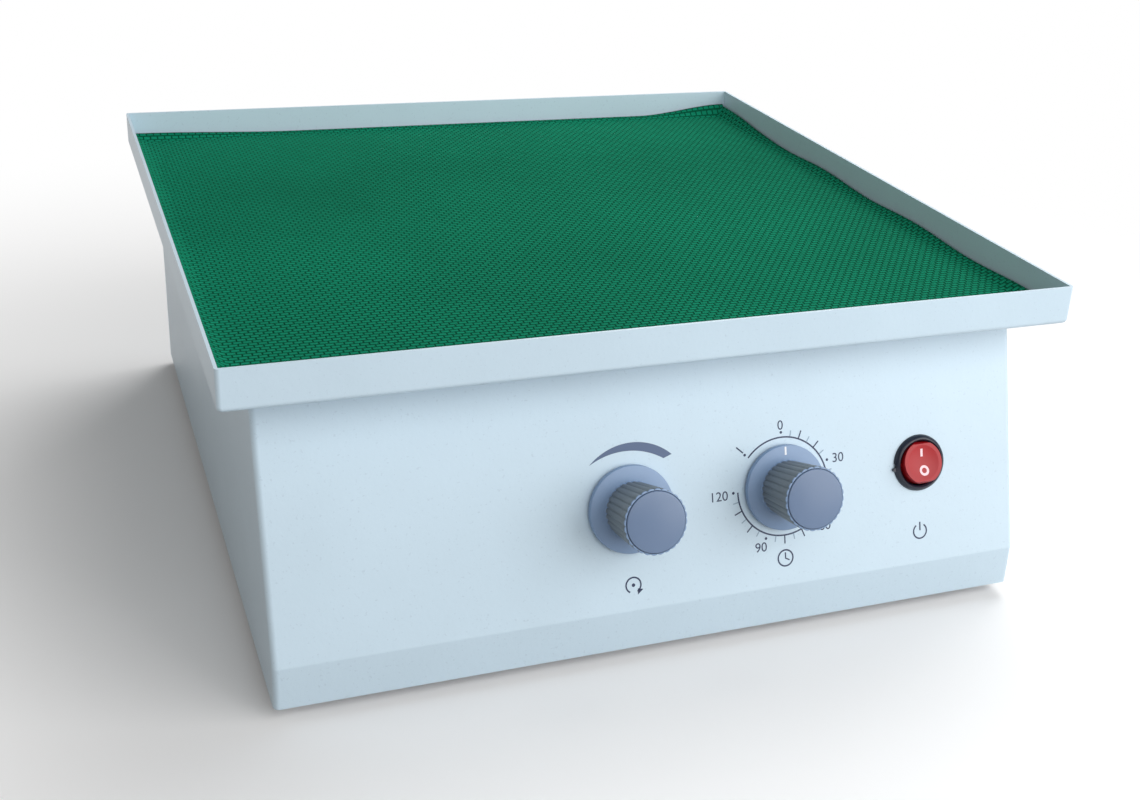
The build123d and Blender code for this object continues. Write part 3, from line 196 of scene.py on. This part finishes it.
paint_colour = rgb(202, 222, 235)
slate = rgb(44, 55, 86)
materials = {
    "housing_paint": powder_coat("housing_paint", paint_colour),
    "tray_paint": powder_coat("tray_paint", paint_colour),
    "foot_rubber": surface("foot_rubber", rgb(28, 28, 30), 0.8, grain=900),
    "belt_rubber": surface("belt_rubber", rgb(24, 24, 25), 0.75, grain=900),
    "zinc_steel": surface("zinc_steel", rgb(196, 199, 204), 0.32, 1.0),
    "machined_steel": surface("machined_steel", rgb(172, 174, 180), 0.28, 1.0),
    "aluminium": surface("aluminium", rgb(205, 208, 212), 0.38, 1.0),
    "motor_paint": surface("motor_paint", rgb(32, 33, 36), 0.4),
    "core_steel": surface("core_steel", rgb(96, 92, 88), 0.55, 0.6),
    "coil_tape": surface("coil_tape", rgb(214, 190, 92), 0.5),
    "board_green": surface("board_green", rgb(26, 104, 52), 0.35),
    "brass_contacts": surface("brass_contacts", rgb(214, 184, 108), 0.3, 1.0),
    "capacitor_sleeve": surface("capacitor_sleeve", rgb(22, 28, 60), 0.3),
    "terminal_plastic": surface("terminal_plastic", rgb(40, 128, 72), 0.45),
    "control_plastic": surface("control_plastic", rgb(44, 44, 48), 0.5),
    "knob_plastic": surface("knob_plastic", rgb(130, 155, 188), 0.38, depth=0.012, spread=0.03),
    "knob_cap_plastic": surface("knob_cap_plastic", rgb(106, 126, 156), 0.3, depth=0.01, spread=0.03),
    "black_plastic": surface("black_plastic", rgb(24, 30, 46), 0.3, depth=0.01),
    "rocker_red": surface("rocker_red", rgb(168, 6, 20), 0.45, depth=0.008, spread=0.04),
}
# Every CAD node takes its slot's finish; the mat's slot has none here, because a sheet replaces that node
for row in frame["record"]["subparts"]:
    chosen = materials.get(row["material_slot"])
    if chosen is None:
        continue
    held = nodes[row["node"]].data.materials
    held.clear()
    held.append(chosen)


# The control panel's own plane: x to the right, y up the slope, z out of it
def panel_matrix(x, rise, out=0.0):
    """Places millimetres on the panel at x, rise; the result is in metres."""
    across = Vector((1, 0, 0))
    up = Vector((0, math.sin(panel_lean), math.cos(panel_lean)))
    normal = Vector((0, -math.cos(panel_lean), math.sin(panel_lean)))
    start = Vector((x, front_y, bend_z)) + up * rise + normal * out
    matrix = Matrix((across, up, normal)).transposed().to_4x4()
    matrix.translation = start
    return Matrix.Scale(MM, 4) @ matrix


def mesh_piece(name, points, faces, material, body, matrix=None, smooth=False):
    """A mesh object that rides on a body; its points are placed by the matrix, if there is one."""
    data = bpy.data.meshes.new(name)
    placed = [matrix @ Vector(p) if matrix is not None else Vector(p) for p in points]
    data.from_pydata([tuple(p) for p in placed], [], faces)
    data.update()
    if smooth:
        data.polygons.foreach_set("use_smooth", [True] * len(data.polygons))
    data.materials.append(material)
    piece = bpy.data.objects.new(name, data)
    scene.collection.objects.link(piece)
    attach(piece, body)
    return piece


class Ink:
    """Flat printed shapes gathered in one mesh, in millimetres on a plane."""

    def __init__(self):
        self.points = []
        self.faces = []

    def polygon(self, outline):
        """One filled outline without holes, convex or nearly so."""
        first = len(self.points)
        self.points += [(x, y, 0.0) for x, y in outline]
        self.faces.append(tuple(range(first, first + len(outline))))

    def strip(self, left, right):
        """A band between two rows of points."""
        for (a, b), (c, d) in zip(zip(left, left[1:]), zip(right, right[1:])):
            self.polygon([a, c, d, b])

    def arc(self, centre, inner, outer, start, stop, steps):
        """A band round a centre; angles run clockwise from the top, in degrees."""
        near, far = [], []
        for step in range(steps + 1):
            angle = math.radians(start + (stop - start) * step / steps)
            near.append((centre[0] + inner * math.sin(angle), centre[1] + inner * math.cos(angle)))
            far.append((centre[0] + outer * math.sin(angle), centre[1] + outer * math.cos(angle)))
        self.strip(near, far)

    def disc(self, centre, radius, sides=24):
        """A filled dot."""
        self.polygon(
            [
                (centre[0] + radius * math.cos(t), centre[1] + radius * math.sin(t))
                for t in np.linspace(0, 2 * math.pi, sides, endpoint=False)
            ]
        )

    def line(self, start, stop, width):
        """A straight stroke."""
        along = Vector((stop[0] - start[0], stop[1] - start[1])).normalized()
        side = Vector((-along.y, along.x)) * width / 2
        self.polygon(
            [
                (start[0] + side.x, start[1] + side.y),
                (start[0] - side.x, start[1] - side.y),
                (stop[0] - side.x, stop[1] - side.y),
                (stop[0] + side.x, stop[1] + side.y),
            ]
        )

    def words(self, text, centre, height, turn):
        """Numerals in the built-in font, of the given height, round the centre; turn is in radians."""
        curve = bpy.data.curves.new("lettering", "FONT")
        curve.body = text
        curve.align_x = "CENTER"
        holder = bpy.data.objects.new("lettering", curve)
        scene.collection.objects.link(holder)
        bpy.context.view_layer.update()
        shape = holder.evaluated_get(bpy.context.evaluated_depsgraph_get()).to_mesh()
        corners = np.array([v.co[:2] for v in shape.vertices])
        low, high = corners.min(0), corners.max(0)
        middle = (low + high) / 2
        scale = height / (high[1] - low[1])
        cos, sin = math.cos(turn), math.sin(turn)
        first = len(self.points)
        for x, y in (corners - middle) * scale:
            self.points.append((centre[0] + x * cos - y * sin, centre[1] + x * sin + y * cos, 0.0))
        self.faces += [tuple(first + i for i in p.vertices) for p in shape.polygons]
        holder.to_mesh_clear()
        bpy.data.objects.remove(holder)
        bpy.data.curves.remove(curve)

    def piece(self, name, material, body, matrix):
        """The gathered shapes as one object."""
        return mesh_piece(name, self.points, self.faces, material, body, matrix)


# Knobs: a flat skirt, a fluted grip that widens towards the front, and a cap that nearly fills its rim
flute_count = 28
flute_depth = 0.55
points_per_flute = 8
grip_foot_radius = 10.8
grip_front_radius = 12.3
cap_radius = 11.35
rim_radius = 11.6
rim_drop = 0.5
edge_round = 0.4
grip_levels = 5
cap_round_steps = 4
rib_roundness = 0.7
rim_bevel = 0.12
bevel_flute_depth = flute_depth * 0.8
rim_flute_depth = flute_depth * 0.4
dome_shares = (0.85, 0.65, 0.4, 0.15)
ring_steps = flute_count * points_per_flute
sharp_angle = math.radians(32)
grip_plastic = surface("grip_plastic", rgb(118, 126, 132), 0.42, depth=0.012, spread=0.03)


def ring(radius, out, depth=0.0):
    """A ring of points round the knob's axis, with grooves between its ribs where depth says so."""
    points = []
    for step in range(ring_steps):
        angle = 2 * math.pi * step / ring_steps
        rib = abs(math.sin(angle * flute_count / 2)) ** rib_roundness
        reach = radius - depth * (1 - rib)
        points.append((reach * math.sin(angle), reach * math.cos(angle), out))
    return points


def turned(rings):
    """Points and faces of a closed body: a tip on the axis, the rings in turn, and a tip at the end."""
    first, last = rings[0][0][2], rings[-1][0][2]
    points = [(0.0, 0.0, first)] + [point for row in rings for point in row] + [(0.0, 0.0, last)]
    faces = []
    for step in range(ring_steps):
        after = (step + 1) % ring_steps
        faces.append((0, 1 + step, 1 + after))
        for row in range(len(rings) - 1):
            near, far = 1 + row * ring_steps, 1 + (row + 1) * ring_steps
            faces.append((near + step, far + step, far + after, near + after))
        start = 1 + (len(rings) - 1) * ring_steps
        faces.append((start + after, start + step, len(points) - 1))
    return points, faces


def knob_piece(name, node, body, x):
    """Skirt and grip as one moulding, hollow behind for the nut, the bushing and the spindle."""
    rim_out = knob_height - rim_drop
    rings = [
        ring(bore_radius, bore_top),
        ring(bore_radius, bushing_top),
        ring(bushing_radius, bushing_top),
        ring(bushing_radius, recess_top),
        ring(recess_radius, recess_top),
        ring(recess_radius, skirt_foot),
        ring(skirt_radius - edge_round, skirt_foot),
        ring(skirt_radius, skirt_foot + edge_round),
        ring(skirt_radius, skirt_top - edge_round),
        ring(skirt_radius - edge_round / 3, skirt_top - edge_round / 3),
        ring(skirt_radius - edge_round, skirt_top),
        ring(grip_foot_radius + edge_round, skirt_top, flute_depth),
        ring(grip_foot_radius, skirt_top + edge_round, flute_depth),
    ]
    grip_start = len(rings) - 1
    grip_low, grip_high = skirt_top + edge_round, rim_out - edge_round
    for level in range(1, grip_levels + 1):
        share = level / grip_levels
        radius = grip_foot_radius + (grip_front_radius - grip_foot_radius) * share
        rings.append(ring(radius, grip_low + (grip_high - grip_low) * share, flute_depth))
    grip_end = len(rings) - 1
    rings += [
        ring(grip_front_radius - rim_bevel, rim_out - rim_bevel, bevel_flute_depth),
        ring(grip_front_radius - edge_round, rim_out, rim_flute_depth),
        ring(rim_radius, rim_out),
        ring(rim_radius, knob_height - cap_thickness),
    ]
    points, faces = turned(rings)
    place = panel_matrix(x, controls_height)
    piece = mesh_piece(name, points, faces, materials["knob_plastic"], body, place, smooth=True)
    piece.data.materials.append(grip_plastic)
    for face in piece.data.polygons:
        lowest = min(face.vertices)
        if 1 + grip_start * ring_steps <= lowest < 1 + grip_end * ring_steps:
            face.material_index = 1
    piece.data.set_sharp_from_angle(angle=sharp_angle)
    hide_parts(node)


def cap_piece(name, node, body, x):
    """A slightly domed disc with a rounded edge, seated in the grip's rim."""
    rings = [ring(cap_radius, knob_height - cap_thickness)]
    for step in range(cap_round_steps + 1):
        angle = math.pi / 2 * step / cap_round_steps
        radius = cap_radius - edge_round * (1 - math.cos(angle))
        rings.append(ring(radius, knob_height - edge_round * (1 - math.sin(angle))))
    for share in dome_shares:
        rings.append(ring(share * (cap_radius - edge_round), knob_height + cap_dome * (1 - share * share)))
    points, faces = turned(rings)
    place = panel_matrix(x, controls_height)
    piece = mesh_piece(name, points, faces, materials["knob_cap_plastic"], body, place, smooth=True)
    piece.data.set_sharp_from_angle(angle=sharp_angle)
    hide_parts(node)


for control, x in (("speed", speed_x), ("timer", timer_x)):
    knob_piece(f"{control}_knob_form", f"{control}_knob", f"{control}_control", x)
    cap_piece(f"{control}_cap_form", f"{control}_knob_cap", f"{control}_control", x)


def around(radius, angle):
    """A point round the dial, clockwise from the top."""
    return (radius * math.sin(math.radians(angle)), radius * math.cos(math.radians(angle)))


def arc_through(start, middle, stop, steps=60):
    """Points along the circle's arc from start through middle to stop."""
    a, b, c = Vector(start), Vector(middle), Vector(stop)
    p, q = b - a, c - a
    cross = 2 * (p.x * q.y - p.y * q.x)
    centre = a + Vector((q.y * p.dot(p) - p.y * q.dot(q), p.x * q.dot(q) - q.x * p.dot(p))) / cross
    radius = (a - centre).length
    first = math.atan2(a.x - centre.x, a.y - centre.y)
    last = math.atan2(c.x - centre.x, c.y - centre.y)
    return [
        (centre.x + radius * math.sin(angle), centre.y + radius * math.cos(angle))
        for angle in np.linspace(first, last, steps)
    ]


# Printing on the panel
ink_material = surface("print_ink", slate, 0.5, depth=0.004, spread=0.05)
wedge_material = surface("wedge_ink", rgb(88, 105, 136), 0.5, depth=0.004, spread=0.05)
faint_material = surface("faint_ink", rgb(150, 172, 190), 0.5, depth=0.004, spread=0.05)
white_material = surface("white_ink", rgb(236, 240, 244), 0.45, depth=0.004, spread=0.03)
print_height = 0.06

# Timer's dial: a line round the knob with ticks, dots and numerals, off at the top and on to its left
dial_radius = 19.4
dial_line = 0.3
dot_out = 1.9
dot_radius = 0.55
long_tick = 3.4
long_tick_width = 0.5
short_tick = 2.6
short_tick_width = 0.45
on_angle = -48
turn_per_minute = 2.25
last_minute = 120
last_angle = last_minute * turn_per_minute
numeral_height = 3.7
dial = Ink()
faint = Ink()
dial.arc((0, 0), dial_radius - dial_line, dial_radius + dial_line, on_angle, last_angle, steps=160)
for angle in [on_angle, 0] + [turn_per_minute * minute for minute in (30, 60, 90, last_minute)]:
    dial.disc(around(dial_radius + dot_out, angle), dot_radius)
for minute in range(5, last_minute, 5):
    angle = turn_per_minute * minute
    if minute % 30 == 0:
        continue
    if minute % 10 == 0:
        dial.line(around(dial_radius, angle), around(dial_radius + long_tick, angle), long_tick_width)
    else:
        faint.line(around(dial_radius, angle), around(dial_radius + short_tick, angle), short_tick_width)
for text, place, tilt in (
    ("0", (-0.2, 24.2), 0.0),
    ("I", (-17.9, 16.4), 48.0),
    ("30", (24.6, 8.6), 0.0),
    ("60", (17.9, -17.9), 0.0),
    ("90", (-10.4, -22.9), 0.0),
    ("120", (-27.0, -0.6), 0.0),
):
    dial.words(text, place, numeral_height, math.radians(tilt))
dial_place = panel_matrix(timer_x, controls_height, print_height)
dial.piece("dial_marks", ink_material, "base", dial_place)
faint.piece("dial_faint_marks", faint_material, "base", dial_place)

# A wedge that grows clockwise over the speed knob: two arcs that meet at its left tip
wedge_tip = (-15.1, 17.8)
wedge_inner = ((4.1, 21.3), (14.7, 17.2))
wedge_outer = ((4.2, 24.6), (18.1, 18.4))
wedge = Ink()
wedge.strip(arc_through(wedge_tip, *wedge_inner), arc_through(wedge_tip, *wedge_outer))
wedge.piece("speed_wedge", wedge_material, "base", panel_matrix(speed_x, controls_height, print_height))

# Plain signs under the controls: a turning arrow, a clock face and the mark for mains power, each drawn
# round a middle at its own height
speed_sign = 9.9
timer_sign = 11.0
power_sign = 13.2
sign_inner, sign_outer = 2.7, 3.3
clock_inner, clock_outer = 2.9, 3.5
arrow_head = ((1.7, -1.5), (3.9, -2.0), (1.6, -3.9))
arrow_dot = 0.7
hand_width = 0.5
long_hand = 2.2
short_hand = ((-0.2, 0.0), (1.7, -1.0))
power_low, power_high = 0.3, 3.8
power_width = 0.6
signs = Ink()
signs.arc((speed_x, speed_sign), sign_inner, sign_outer, -150, 150, steps=48)
signs.polygon([(speed_x + x, speed_sign + y) for x, y in arrow_head])
signs.disc((speed_x, speed_sign), arrow_dot)
signs.arc((timer_x, timer_sign), clock_inner, clock_outer, 0, 360, steps=60)
signs.line((timer_x, timer_sign), (timer_x, timer_sign + long_hand), hand_width)
signs.line(*[(timer_x + x, timer_sign + y) for x, y in short_hand], hand_width)
signs.arc((switch_x, power_sign), sign_inner, sign_outer, 35, 325, steps=48)
signs.line((switch_x, power_sign + power_low), (switch_x, power_sign + power_high), power_width)
signs.piece("control_signs", ink_material, "base", panel_matrix(0, 0, print_height))

# White pointer on the timer's skirt
pointer_start, pointer_end = 13.0, 16.2
pointer_width = 0.8
pointer_height = 0.05
pointer = Ink()
pointer.line((0, pointer_start), (0, pointer_end), pointer_width)
pointer_place = panel_matrix(timer_x, controls_height, skirt_top + pointer_height)
pointer.piece("timer_pointer", white_material, "timer_control", pointer_place)

# On and off marks in the rocker's dish, laid along its curve
on_mark_low = 2.4
on_mark_step = 0.52
on_mark_steps = 6
on_mark_width = 1.05
off_mark_middle = (0.4, -3.3)
off_mark_inner, off_mark_outer = 1.1, 2.1
mark_height = 0.04
dish_reach = math.sqrt(rocker_half**2 - rocker_rise**2) - dish_border
dish_radius = (dish_reach**2 + dish_depth**2) / (2 * dish_depth)


def dished(outline):
    """Puts flat points onto the dish, just above its surface."""
    top = rocker_rise - dish_depth + dish_radius
    return [(x, y, top - math.sqrt(dish_radius**2 - x * x - y * y) + mark_height) for x, y, _ in outline]


marks = Ink()
for step in range(on_mark_steps):
    low = on_mark_low + step * on_mark_step
    marks.line((0, low), (0, low + on_mark_step), on_mark_width)
marks.arc(off_mark_middle, off_mark_inner, off_mark_outer, 0, 360, steps=40)
rocker_place = panel_matrix(switch_x, controls_height + switch_rise) @ Matrix.Rotation(rocker_tilt, 4, "X")
mark_material = surface("rocker_mark", rgb(250, 214, 220), 0.4, depth=0.004, spread=0.02)
mesh_piece("rocker_marks", dished(marks.points), marks.faces, mark_material, "rocker", rocker_place)


# Mat: one closed sheet, flat on the tray's floor, its cut edges curling up against the walls
def mat_material():
    """Deep green open-textured rubber: rows of small bumps set off by half a step, with the gaps between
    them painted darker as shade.
    """
    material, tree, shader = new_material("grip_mat")
    shader.inputs["Roughness"].default_value = 0.85
    shader.inputs["Specular IOR Level"].default_value = 0.04
    place = coordinates(tree)
    brick = tree.nodes.new("ShaderNodeTexBrick")
    brick.inputs["Scale"].default_value = 1.0 / MM
    brick.inputs["Brick Width"].default_value = 3.4
    brick.inputs["Row Height"].default_value = 2.3
    brick.inputs["Mortar Size"].default_value = 0.5
    brick.inputs["Mortar Smooth"].default_value = 1.0
    brick.inputs["Color1"].default_value = (1, 1, 1, 1)
    brick.inputs["Color2"].default_value = (0.86, 0.86, 0.86, 1)
    brick.inputs["Mortar"].default_value = (0, 0, 0, 1)
    tree.links.new(place, brick.inputs["Vector"])
    # The gaps between the bumps take the darkest green: painted shade in the grooves, on top of the bumps'
    # own relief
    rows = ramp(
        tree,
        brick.outputs["Color"],
        [(0.0, rgb(2, 80, 54)), (0.55, rgb(6, 112, 82)), (1.0, rgb(14, 130, 98))],
    )
    drift = noise(tree, place, scale=9.0, detail=3.0)
    drift_tint = ramp(tree, drift, [(0.3, (0.86, 0.86, 0.86, 1)), (0.7, (1.06, 1.06, 1.06, 1))])
    tree.links.new(multiply(tree, rows, drift_tint, share=1.0), shader.inputs["Base Color"])
    bumps = bump(tree, brick.outputs["Color"], distance=0.6 * MM)
    tree.links.new(bumps, shader.inputs["Normal"])
    return material


def smooth_step(value):
    """0 below 0, 1 above 1, and smooth between."""
    value = np.clip(value, 0, 1)
    return value * value * (3 - 2 * value)


def wavy(level, swing, along, radians, start=0.0):
    """A height that swings about a level along an edge, over so many radians."""
    return level + swing * np.sin(along * radians + start)


# How high the mat's edges stand, in millimetres, and what share of an edge its raised ends take
mat_step = 1.5
mat_clearance = 0.05
curl_reach = 7.0
curl_power = 1.6
highest_lift = 6.0
back_lift = 0.8
back_left_lift = 1.9
back_right_lift = 5.0
right_back_lift = 3.4
corner_share = 0.16
left_share = 0.25


def build_mat():
    """The mat's grid, lifted near each edge by an amount that wanders along it."""
    columns = int(2 * mat_half_width / mat_step) + 1
    rows = int(2 * mat_half_depth / mat_step) + 1
    x = np.linspace(-mat_half_width, mat_half_width, columns)
    y = np.linspace(-mat_half_depth, mat_half_depth, rows)
    gx, gy = np.meshgrid(x, y)
    along_x = (gx + mat_half_width) / (2 * mat_half_width)
    along_y = (gy + mat_half_depth) / (2 * mat_half_depth)
    near_right = smooth_step((along_x - 1 + corner_share) / corner_share)
    near_back = smooth_step((along_y - 1 + corner_share) / corner_share)
    near_left = 1 - smooth_step(along_x / left_share)
    back = back_lift + back_left_lift * near_left + back_right_lift * near_right
    right = wavy(level=1.9, swing=0.7, along=along_y, radians=23.0) + right_back_lift * near_back
    left = wavy(level=2.4, swing=0.7, along=along_y, radians=17.0, start=1.0)
    front = wavy(level=1.6, swing=0.6, along=along_x, radians=15.0)
    lift = np.zeros_like(gx)
    for height, distance in (
        (back, mat_half_depth - gy),
        (front, gy + mat_half_depth),
        (right, mat_half_width - gx),
        (left, gx + mat_half_width),
    ):
        rise = np.minimum(height, highest_lift) * smooth_step(1 - distance / curl_reach) ** curl_power
        lift = np.maximum(lift, rise)
    underside = tray_floor_z + mat_clearance
    points, faces = [], []
    for level in (mat_thickness - 2 * mat_clearance, 0.0):
        z = underside + level + lift
        points += list(zip((gx * MM).ravel(), ((gy + platform_y) * MM).ravel(), (z * MM).ravel()))
    count = rows * columns
    for r in range(rows - 1):
        for c in range(columns - 1):
            a = r * columns + c
            b, d, e = a + 1, a + columns, a + columns + 1
            faces.append((a, b, e, d))
            faces.append((count + a, count + d, count + e, count + b))
    edge = list(range(columns))
    edge += [r * columns + columns - 1 for r in range(1, rows)]
    edge += [(rows - 1) * columns + c for c in range(columns - 2, -1, -1)]
    edge += [r * columns for r in range(rows - 2, 0, -1)]
    for a, b in zip(edge, edge[1:] + edge[:1]):
        faces.append((b, a, count + a, count + b))
    piece = mesh_piece("grip_mat_sheet", points, faces, mat_material(), "platform", smooth=True)
    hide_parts("mat")


build_mat()


# Camera, from the fit of the tray's and housing's edges in the photo
photo_width = 1140
photo_height = 800
focal_pixels = 1497.4
principal = (620.0, 381.0)
camera_place = Vector((-0.21306, -0.59755, 0.33132))
azimuth = math.radians(-22.763)
elevation = math.radians(24.134)
roll = math.radians(3.501)
forward = Vector(
    (
        -math.sin(azimuth) * math.cos(elevation),
        math.cos(azimuth) * math.cos(elevation),
        -math.sin(elevation),
    )
)
side = Vector((math.cos(azimuth), math.sin(azimuth), 0))
upward = side.cross(forward)
rolled_side = side * math.cos(roll) + upward * math.sin(roll)
rolled_up = upward * math.cos(roll) - side * math.sin(roll)
turn = Matrix((rolled_side, rolled_up, -forward)).transposed().to_4x4()
camera_data = bpy.data.cameras.new("camera")
camera_data.sensor_width = 36.0
camera_data.lens = focal_pixels / photo_width * camera_data.sensor_width
camera_data.shift_x = -(principal[0] - photo_width / 2) / photo_width
camera_data.shift_y = -(photo_height / 2 - principal[1]) / photo_width
camera_data.clip_start = 0.01
camera = bpy.data.objects.new("camera", camera_data)
scene.collection.objects.link(camera)
camera.matrix_world = Matrix.Translation(camera_place) @ turn
scene.camera = camera


# World and floor: pale where they are seen, and a lower plain light on the object
def background_mix(tree, unseen, seen):
    """The seen shader for rays from the camera, off gloss or through glass; the unseen one for the rest."""
    path = tree.nodes.new("ShaderNodeLightPath")
    most = path.outputs["Is Camera Ray"]
    for name in ("Is Glossy Ray", "Is Transmission Ray"):
        node = tree.nodes.new("ShaderNodeMath")
        node.operation = "MAXIMUM"
        tree.links.new(most, node.inputs[0])
        tree.links.new(path.outputs[name], node.inputs[1])
        most = node.outputs[0]
    mix = tree.nodes.new("ShaderNodeMixShader")
    tree.links.new(most, mix.inputs["Fac"])
    tree.links.new(unseen, mix.inputs[1])
    tree.links.new(seen, mix.inputs[2])
    return mix.outputs[0]


white = (1.0, 1.0, 1.0, 1.0)
world_strength = 0.18
floor_half = 3.0
floor_z = -0.0002
floor_unseen = 0.35
fade_start, fade_end = 0.22, 0.6

world = bpy.data.worlds.new("studio")
world.use_nodes = True
scene.world = world
world_tree = world.node_tree
world_light = world_tree.nodes["Background"]
world_light.inputs["Color"].default_value = white
world_light.inputs["Strength"].default_value = world_strength
world_white = world_tree.nodes.new("ShaderNodeBackground")
world_white.inputs["Color"].default_value = white
world_white.inputs["Strength"].default_value = 1.0
path = world_tree.nodes.new("ShaderNodeLightPath")
world_mix = world_tree.nodes.new("ShaderNodeMixShader")
world_tree.links.new(path.outputs["Is Camera Ray"], world_mix.inputs["Fac"])
world_tree.links.new(world_light.outputs[0], world_mix.inputs[1])
world_tree.links.new(world_white.outputs[0], world_mix.inputs[2])
world_tree.links.new(world_mix.outputs[0], world_tree.nodes["World Output"].inputs["Surface"])

# The floor keeps the object's shadow near it and fades to plain white further out
floor_data = bpy.data.meshes.new("floor")
floor_data.from_pydata(
    [(sx * floor_half, sy * floor_half, floor_z) for sx, sy in ((-1, -1), (1, -1), (1, 1), (-1, 1))],
    [],
    [(0, 1, 2, 3)],
)
floor_material, floor_tree, floor_shader = new_material("floor")
floor_shader.inputs["Base Color"].default_value = rgb(248, 248, 248)
floor_shader.inputs["Roughness"].default_value = 0.9
floor_shader.inputs["Specular IOR Level"].default_value = 0.0
floor_dim = floor_tree.nodes.new("ShaderNodeBsdfDiffuse")
floor_dim.inputs["Color"].default_value = shade(white, floor_unseen)
floor_white = floor_tree.nodes.new("ShaderNodeEmission")
floor_white.inputs["Color"].default_value = white
floor_white.inputs["Strength"].default_value = 1.0
floor_reach = floor_tree.nodes.new("ShaderNodeVectorMath")
floor_reach.operation = "LENGTH"
floor_tree.links.new(coordinates(floor_tree), floor_reach.inputs[0])
floor_fade = floor_tree.nodes.new("ShaderNodeMapRange")
floor_fade.interpolation_type = "SMOOTHSTEP"
floor_fade.inputs["From Min"].default_value = fade_start
floor_fade.inputs["From Max"].default_value = fade_end
floor_tree.links.new(floor_reach.outputs["Value"], floor_fade.inputs["Value"])
floor_near = floor_tree.nodes.new("ShaderNodeMixShader")
floor_tree.links.new(floor_fade.outputs["Result"], floor_near.inputs["Fac"])
floor_tree.links.new(floor_shader.outputs[0], floor_near.inputs[1])
floor_tree.links.new(floor_white.outputs[0], floor_near.inputs[2])
floor_out = next(n for n in floor_tree.nodes if n.type == "OUTPUT_MATERIAL")
floor_tree.links.new(
    background_mix(floor_tree, floor_dim.outputs[0], floor_near.outputs[0]),
    floor_out.inputs["Surface"],
)
floor_data.materials.append(floor_material)
floor = bpy.data.objects.new("floor", floor_data)
scene.collection.objects.link(floor)


def area_light(name, place, aim, size, power, colour=(1.0, 1.0, 1.0)):
    """A square soft light at a place, turned to its aim."""
    data = bpy.data.lights.new(name, "AREA")
    data.size = size
    data.energy = power
    data.color = colour
    lamp = bpy.data.objects.new(name, data)
    scene.collection.objects.link(lamp)
    lamp.location = place
    direction = Vector(aim) - Vector(place)
    lamp.rotation_euler = direction.to_track_quat("-Z", "Y").to_euler()


panel_aim = (0, -0.05, 0.09)
area_light("key", place=(0.75, -0.8, 0.5), aim=panel_aim, size=1.0, power=9.5)
area_light("front", place=(0.0, -1.3, 0.9), aim=panel_aim, size=1.2, power=8.5)
area_light("top", place=(0.5, 0.5, 1.0), aim=(0, 0, 0.1), size=0.9, power=10.0)
area_light(
    "left_fill", place=(-1.2, -0.1, 0.5), aim=(0, 0, 0.05), size=0.8, power=1.8, colour=(1.0, 0.93, 0.85)
)
